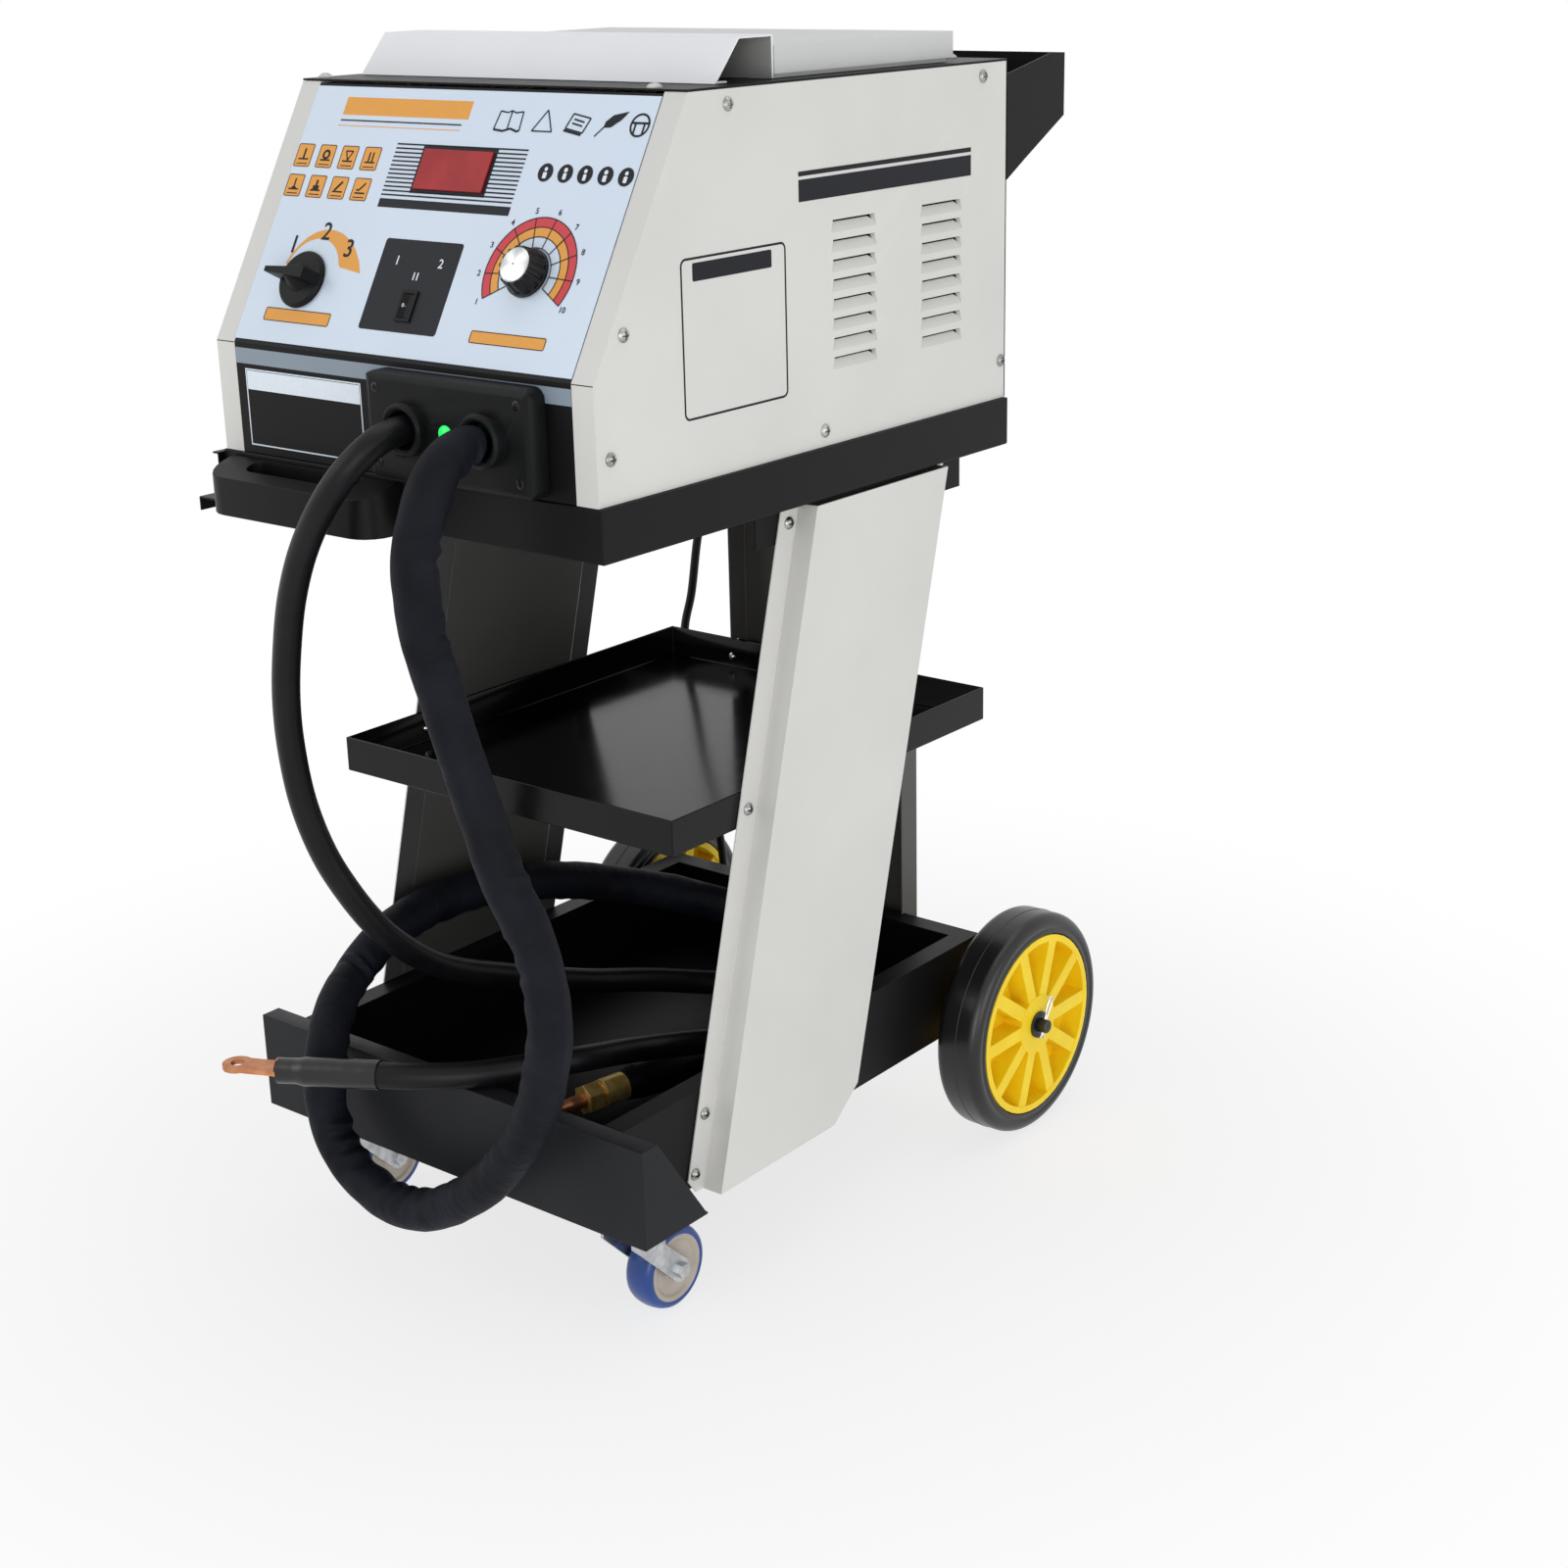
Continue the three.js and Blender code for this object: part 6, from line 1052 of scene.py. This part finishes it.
for (x0, x1, s0, s1), glyph in zip(tiles, TILE_GLYPHS):
    tile_marks += [np.asarray(mark) + [(x0 + x1) / 2, (s0 + s1) / 2] for mark in glyph]
    tile_marks.append(box_outline(x0 + 3, x1 - 3, s0 + 2.2, s0 + 2.9))
label_lines = [line for label in labels for line in border(*label, 0.6, LABEL_CORNER)]
# The round badges, drawn as sectors with a hole too small to be seen
BADGES, BADGE_S, BADGE_RADIUS, PINHOLE = (88, 106.6, 125, 143.8, 162.4), 147, 6.8, 0.05
thirds = [(x, a) for x in BADGES for a in (0, 120, 240)]
panel_print(
    "print_dark",
    spokes + sum(rings, []) + stripes + tile_lines + tile_marks + label_lines
    + [sector(x, BADGE_S, PINHOLE, BADGE_RADIUS, a, a + 120, 12) for x, a in thirds]
    + border(*DISPLAY_FRAME)
    + [box_outline(*LINE_DARK)],
    INK_DARK,
    layer=1,
)
panel_print("print_underline", [box_outline(*LINE_AMBER)], INK_AMBER)

# Five pictograms at the top right: line width, whether the line closes, its points; width 0 is a fill
PICTOGRAMS = (
    (1.6, False, [(25, 177), (34, 176), (41, 178), (48, 176), (50, 177)]),
    (1.0, False, [(25, 177), (27, 191), (34, 190), (38, 191.5), (38, 177.4)]),
    (1.0, False, [(38, 191.5), (42, 190), (49, 191), (50, 177)]),
    (1.0, True, [(62, 177), (72, 193), (81, 177)]),
    (1.1, True, [(93, 180), (97, 191), (114, 188), (110, 177)]),
    (1.2, False, [(98, 184), (108, 182)]),
    (1.2, False, [(99, 187), (109, 185)]),
    (1.8, False, [(92, 178.6), (109, 175.6)]),
    (0, True, [(128, 181.6), (128.4, 186), (134, 191), (147, 194), (142.4, 188), (134.4, 182)]),
    (1.0, False, [(122, 175), (129, 183)]),
)
GLOBE = (
    (1.6, False, [(152, 186), (168, 186)]),
    (1.5, False, [(156, 186), (156, 178)]),
    (1.5, False, [(164, 186), (164, 178)]),
)
pictograms = drawn(PICTOGRAMS) + ring_outlines(160, 184.5, 8, 1.5) + drawn(GLOBE)
panel_print("print_pictograms", pictograms, INK_DARK, layer=1)

# A dot over a stem in each badge, and the two short bars over the switch
DOT_S, STEM_LOW, STEM_HIGH, STEM_HALF, STEM_CORNER = 149.5, 142.6, 147.2, 1.7, 0.6
badge_marks = []
for k, x in enumerate(BADGES):
    badge_marks.append(sector(x, DOT_S, PINHOLE, 1.5 + 0.2 * (k % 2), 0, 359, 14))
    left = x - STEM_HALF + 0.3 * (k % 3)
    badge_marks.append(box_outline(left, x + STEM_HALF, STEM_LOW, STEM_HIGH, STEM_CORNER))
switch_bars = [box_outline(x, x + 1.2, 60.5, 66.3) for x in (-6.2, -2.6)]
panel_print("print_pale", badge_marks + switch_bars, INK_PALE, layer=2)

# Figures: how much they are thickened, as a share of their height, and that height as a share of the
# typeface's size
FIGURE_WEIGHT, FIGURE_SHARE = 0.012, 0.72


def figure_mesh(text, height):
    """Plain figures of the built-in typeface, this tall, centred: points in millimetres and faces."""
    curve = bpy.data.curves.new("figures", "FONT")
    curve.body = text
    curve.size = height / FIGURE_SHARE
    curve.align_x, curve.align_y = "CENTER", "CENTER"
    curve.extrude = INK / 2
    curve.offset = height * FIGURE_WEIGHT
    curve.resolution_u = 4
    holder = bpy.data.objects.new("figures", curve)
    add_to_scene(holder)
    graph = bpy.context.evaluated_depsgraph_get()
    mesh = bpy.data.meshes.new_from_object(holder.evaluated_get(graph))
    points = np.zeros(len(mesh.vertices) * 3, np.float32)
    mesh.vertices.foreach_get("co", points)
    faces = [list(face.vertices) for face in mesh.polygons]
    bpy.data.objects.remove(holder)
    bpy.data.curves.remove(curve)
    bpy.data.meshes.remove(mesh)
    return points.reshape(-1, 3).astype(float), faces


def add_figures(name, marks, material, surface, body=ROOT):
    """Figures (text, a, b, height) laid on a surface that carries (a, b, out) to the machine's frame."""
    points, faces, start = [], [], 0
    for text, a, b, height in marks:
        some, its_faces = figure_mesh(text, height)
        points.append(some + [a, b, 0])
        faces += [[v + start for v in face] for face in its_faces]
        start += len(some)
    piece = add_piece(name, surface(*np.concatenate(points).T), faces, material, body)


def second_layer(a, b, out):
    """Places of figures in the panel's second layer of ink, out counted from its middle."""
    return on_panel(a, b, out + OVERLAY_FACE + 1.5 * INK)


NUMBER_RING = 46.8
marks = [(str(k + 1), *(middle + NUMBER_RING * ray), 4.4) for k, ray in enumerate(rays)]
add_figures("dial_numbers", marks, INK_DARK, second_layer)
marks = [("1", -139.9, 78.9, 14), ("2", -109.3, 90.8, 14), ("3", -80.7, 79.2, 14)]
add_figures("selector_numbers", marks, INK_DARK, second_layer)
add_figures("switch_numbers", [("1", -27, 74, 7), ("2", 17, 74, 7)], INK_PALE, second_layer)

# A nought and a dash on the raised half of the rocker's key, whose slope runs between two points of
# (x, out) from the rocker's middle
KEY_LOW, KEY_HIGH = np.array([0.25, 1.58]), np.array([-4.235, 3.30])
ROCKER_MIDDLE = (-2.8, 40.8)


def on_key(a, b, out):
    """Points on the raised half of the key: a across from its middle, b up the slope, out square to it."""
    across = (KEY_LOW - KEY_HIGH) / np.linalg.norm(KEY_LOW - KEY_HIGH)
    square = np.array([-across[1], across[0]])
    middle = (KEY_LOW + KEY_HIGH) / 2
    x = ROCKER_MIDDLE[0] + middle[0] + a * across[0] + (out + INK / 2) * square[0]
    reach = middle[1] + a * across[1] + (out + INK / 2) * square[1]
    return on_panel(x, ROCKER_MIDDLE[1] + b, reach)


add_figures("rocker_mark", [("0", -0.6, 0, 2.8), ("-", 1.3, 0, 2.0)], INK_PALE, on_key, "rocker")

# Lower front panel: pale strip, bordered plate left blank, and a thin dark line of painted shade along the
# fold of the side flanges
PANEL_HALF, FLANGE_INNER, FLANGE_OUTER = 171.1, 171.6, CASE_HALF - 0.4
front_print("print_strip", [box_outline(-PANEL_HALF, PANEL_HALF, 722, 733.6)], STRIP_FILM)
plate = border(-161.5, -36, 660.8, 718.5, 1.0) + [box_outline(-160, -37.5, 703, 717)]
front_print("print_plate", plate, INK_PALE)
# Painted shade: a thin dark line along the fold
fold_shade_line = [
    box_outline(a, b, 736.7, 737.4)
    for a, b in ((FLANGE_INNER, FLANGE_OUTER), (-FLANGE_OUTER, -FLANGE_INNER))
]
front_print("print_fold_painted_shade", fold_shade_line, INK_DARK, thickness=0.08)
# Sides of the case: line, band and bordered label, all blank, as outlines of (y, z)
side_marks = [box_outline(224.1, 442.4, 853.4, 856.8), box_outline(224.1, 442.4, 835.5, 851)]
side_marks += border(91.8, 207.8, 698.6, 810, 1.6, 5.5) + [box_outline(104.5, 191.5, 793.5, 806, 1.4)]
for side, sign in SIDES[::-1]:
    add_print(
        f"print_side_{side}", side_marks, 0, INK, INK_DARK,
        lambda a, b, out: np.column_stack([sign * (CASE_HALF + out), a, b]),
    )

# Painted shade: dark sheets on the inner faces of the hood, where shade falls: outlines of (y, z)
HOOD_SHADE_HALF = 176.5
HOOD_PAINTED_SHADE = {
    "front": ([(155.6, 922.5), (179.8, 949.2), (179.3, 949.6), (155.15, 922.9)], INK_PLATE_AND_HOOD_SHADE),
    "top": ([(180.2, 949.3), (214.7, 949.3), (214.7, 949.7), (180.2, 949.7)], INK_PLATE_AND_HOOD_SHADE),
    "rear": ([(215.2, 921.4), (215.2, 949.2), (214.8, 949.2), (214.8, 921.4)], HOOD_REAR_SHADE),
}
for end, (outline, material) in HOOD_PAINTED_SHADE.items():
    add_print(
        f"hood_painted_shade_{end}", [outline], -HOOD_SHADE_HALF, HOOD_SHADE_HALF, material,
        lambda a, b, x: np.column_stack([x, a, b]),
    )

# Spun cap on the timer knob: shares of its radius and of its rise
CAP_FOOT, CAP_RADIUS, CAP_RISE = 16.25, 12.6, 1.9
CAP_PROFILE = [(0, 0), (1, 0), (1, 0.25), (0.96, 0.42), (0.88, 0.55), (0.6, 0.9), (0.3, 1), (0, 1)]
add_turned(
    "timer_cap",
    np.array(CAP_PROFILE) * [CAP_RADIUS, CAP_RISE] + [0, CAP_FOOT],
    72,
    on_panel(DIAL_X, DIAL_S, 0),
    (0, -math.cos(SLANT_ANGLE), math.sin(SLANT_ANGLE)),
    SPUN_CAP,
    "timer",
    uv_name="round_and_in",
)


# Floor and light

# The floor's half width in millimetres; metres from its middle where it starts and ends to turn white
FLOOR_REACH, FADE_START, FADE_END, NEAR_WHITE = 12000, 0.3, 1.05, 0.76


def add_floor():
    """A wide pale floor whose paint passes into plain white away from the machine: the share of white
    rises with the distance from the middle, FADE_START to FADE_END in metres."""
    corners = np.array([(-1, -1, 0), (1, -1, 0), (1, 1, 0), (-1, 1, 0)]) * FLOOR_REACH
    mesh = bpy.data.meshes.new("studio_floor")
    mesh.from_pydata(place(corners).tolist(), [], [[0, 1, 2, 3]])
    floor = bpy.data.objects.new("studio_floor", mesh)
    add_to_scene(floor)
    material, tree, shader = new_material("studio_floor_paint", Roughness=0.7, IOR=1.3)
    shader.inputs["Base Color"].default_value = linear("#f4f4f4")
    away = add_node(tree, "VectorMath", {"operation": "LENGTH"}, {0: object_place(tree)})
    settings = {"From Min": FADE_START, "From Max": FADE_END, "To Min": NEAR_WHITE}
    settings["interpolation_type"] = "SMOOTHSTEP"
    share = add_node(tree, "MapRange", settings, {"Value": away.outputs["Value"]})
    white = add_node(tree, "Emission", {"Color": [1, 1, 1, 1], "Strength": 1.0})
    links = {0: share.outputs["Result"], 1: shader.outputs["BSDF"], 2: white.outputs["Emission"]}
    mix = add_node(tree, "MixShader", links=links)
    tree.links.new(mix.outputs["Shader"], tree.nodes["Material Output"].inputs["Surface"])
    mesh.materials.append(material)


def add_area(name, location, aim_height, size, power):
    """A soft square light, turned to a height above the floor's middle."""
    data = bpy.data.lights.new(name, "AREA")
    data.shape, data.size, data.energy = "SQUARE", size, power
    light = bpy.data.objects.new(name, data)
    light.location = location
    aim = Vector((0, 0, aim_height)) - Vector(location)
    light.rotation_euler = aim.to_track_quat("-Z", "Y").to_euler()
    add_to_scene(light)


def white_world():
    """White behind everything for camera, mirror and glass rays, a softer grey for the light it gives."""
    world = bpy.data.worlds.new("studio")
    world.use_nodes = True
    tree = world.node_tree
    tree.nodes.clear()
    path = add_node(tree, "LightPath").outputs
    seen = larger(tree, path["Is Camera Ray"], path["Is Glossy Ray"])
    seen = larger(tree, seen, path["Is Transmission Ray"])
    soft = add_node(tree, "Background", {"Color": linear("#f4f7ff"), "Strength": 0.42})
    white = add_node(tree, "Background", {"Color": [1, 1, 1, 1], "Strength": 1.0})
    links = {0: seen, 1: soft.outputs["Background"], 2: white.outputs["Background"]}
    mix = add_node(tree, "MixShader", links=links)
    surface = {"Surface": mix.outputs["Shader"]}
    tree.nodes.active = add_node(tree, "OutputWorld", links=surface)
    bpy.context.scene.world = world


add_floor()
# Place and height aimed at in metres, width in metres, power in watts
add_area("key_left", (-2.2, -2.8, 2.4), 0.5, 2.2, 28)
add_area("fill_right", (3.2, -0.4, 0.6), 0.3, 2.0, 25)
add_area("front_low", (1.9, -2.7, 0.8), 0.35, 1.6, 25)
add_area("top_soft", (0.2, 0.4, 3.4), 0.5, 2.6, 20)
white_world()
bpy.context.scene.view_settings.view_transform = "Standard"
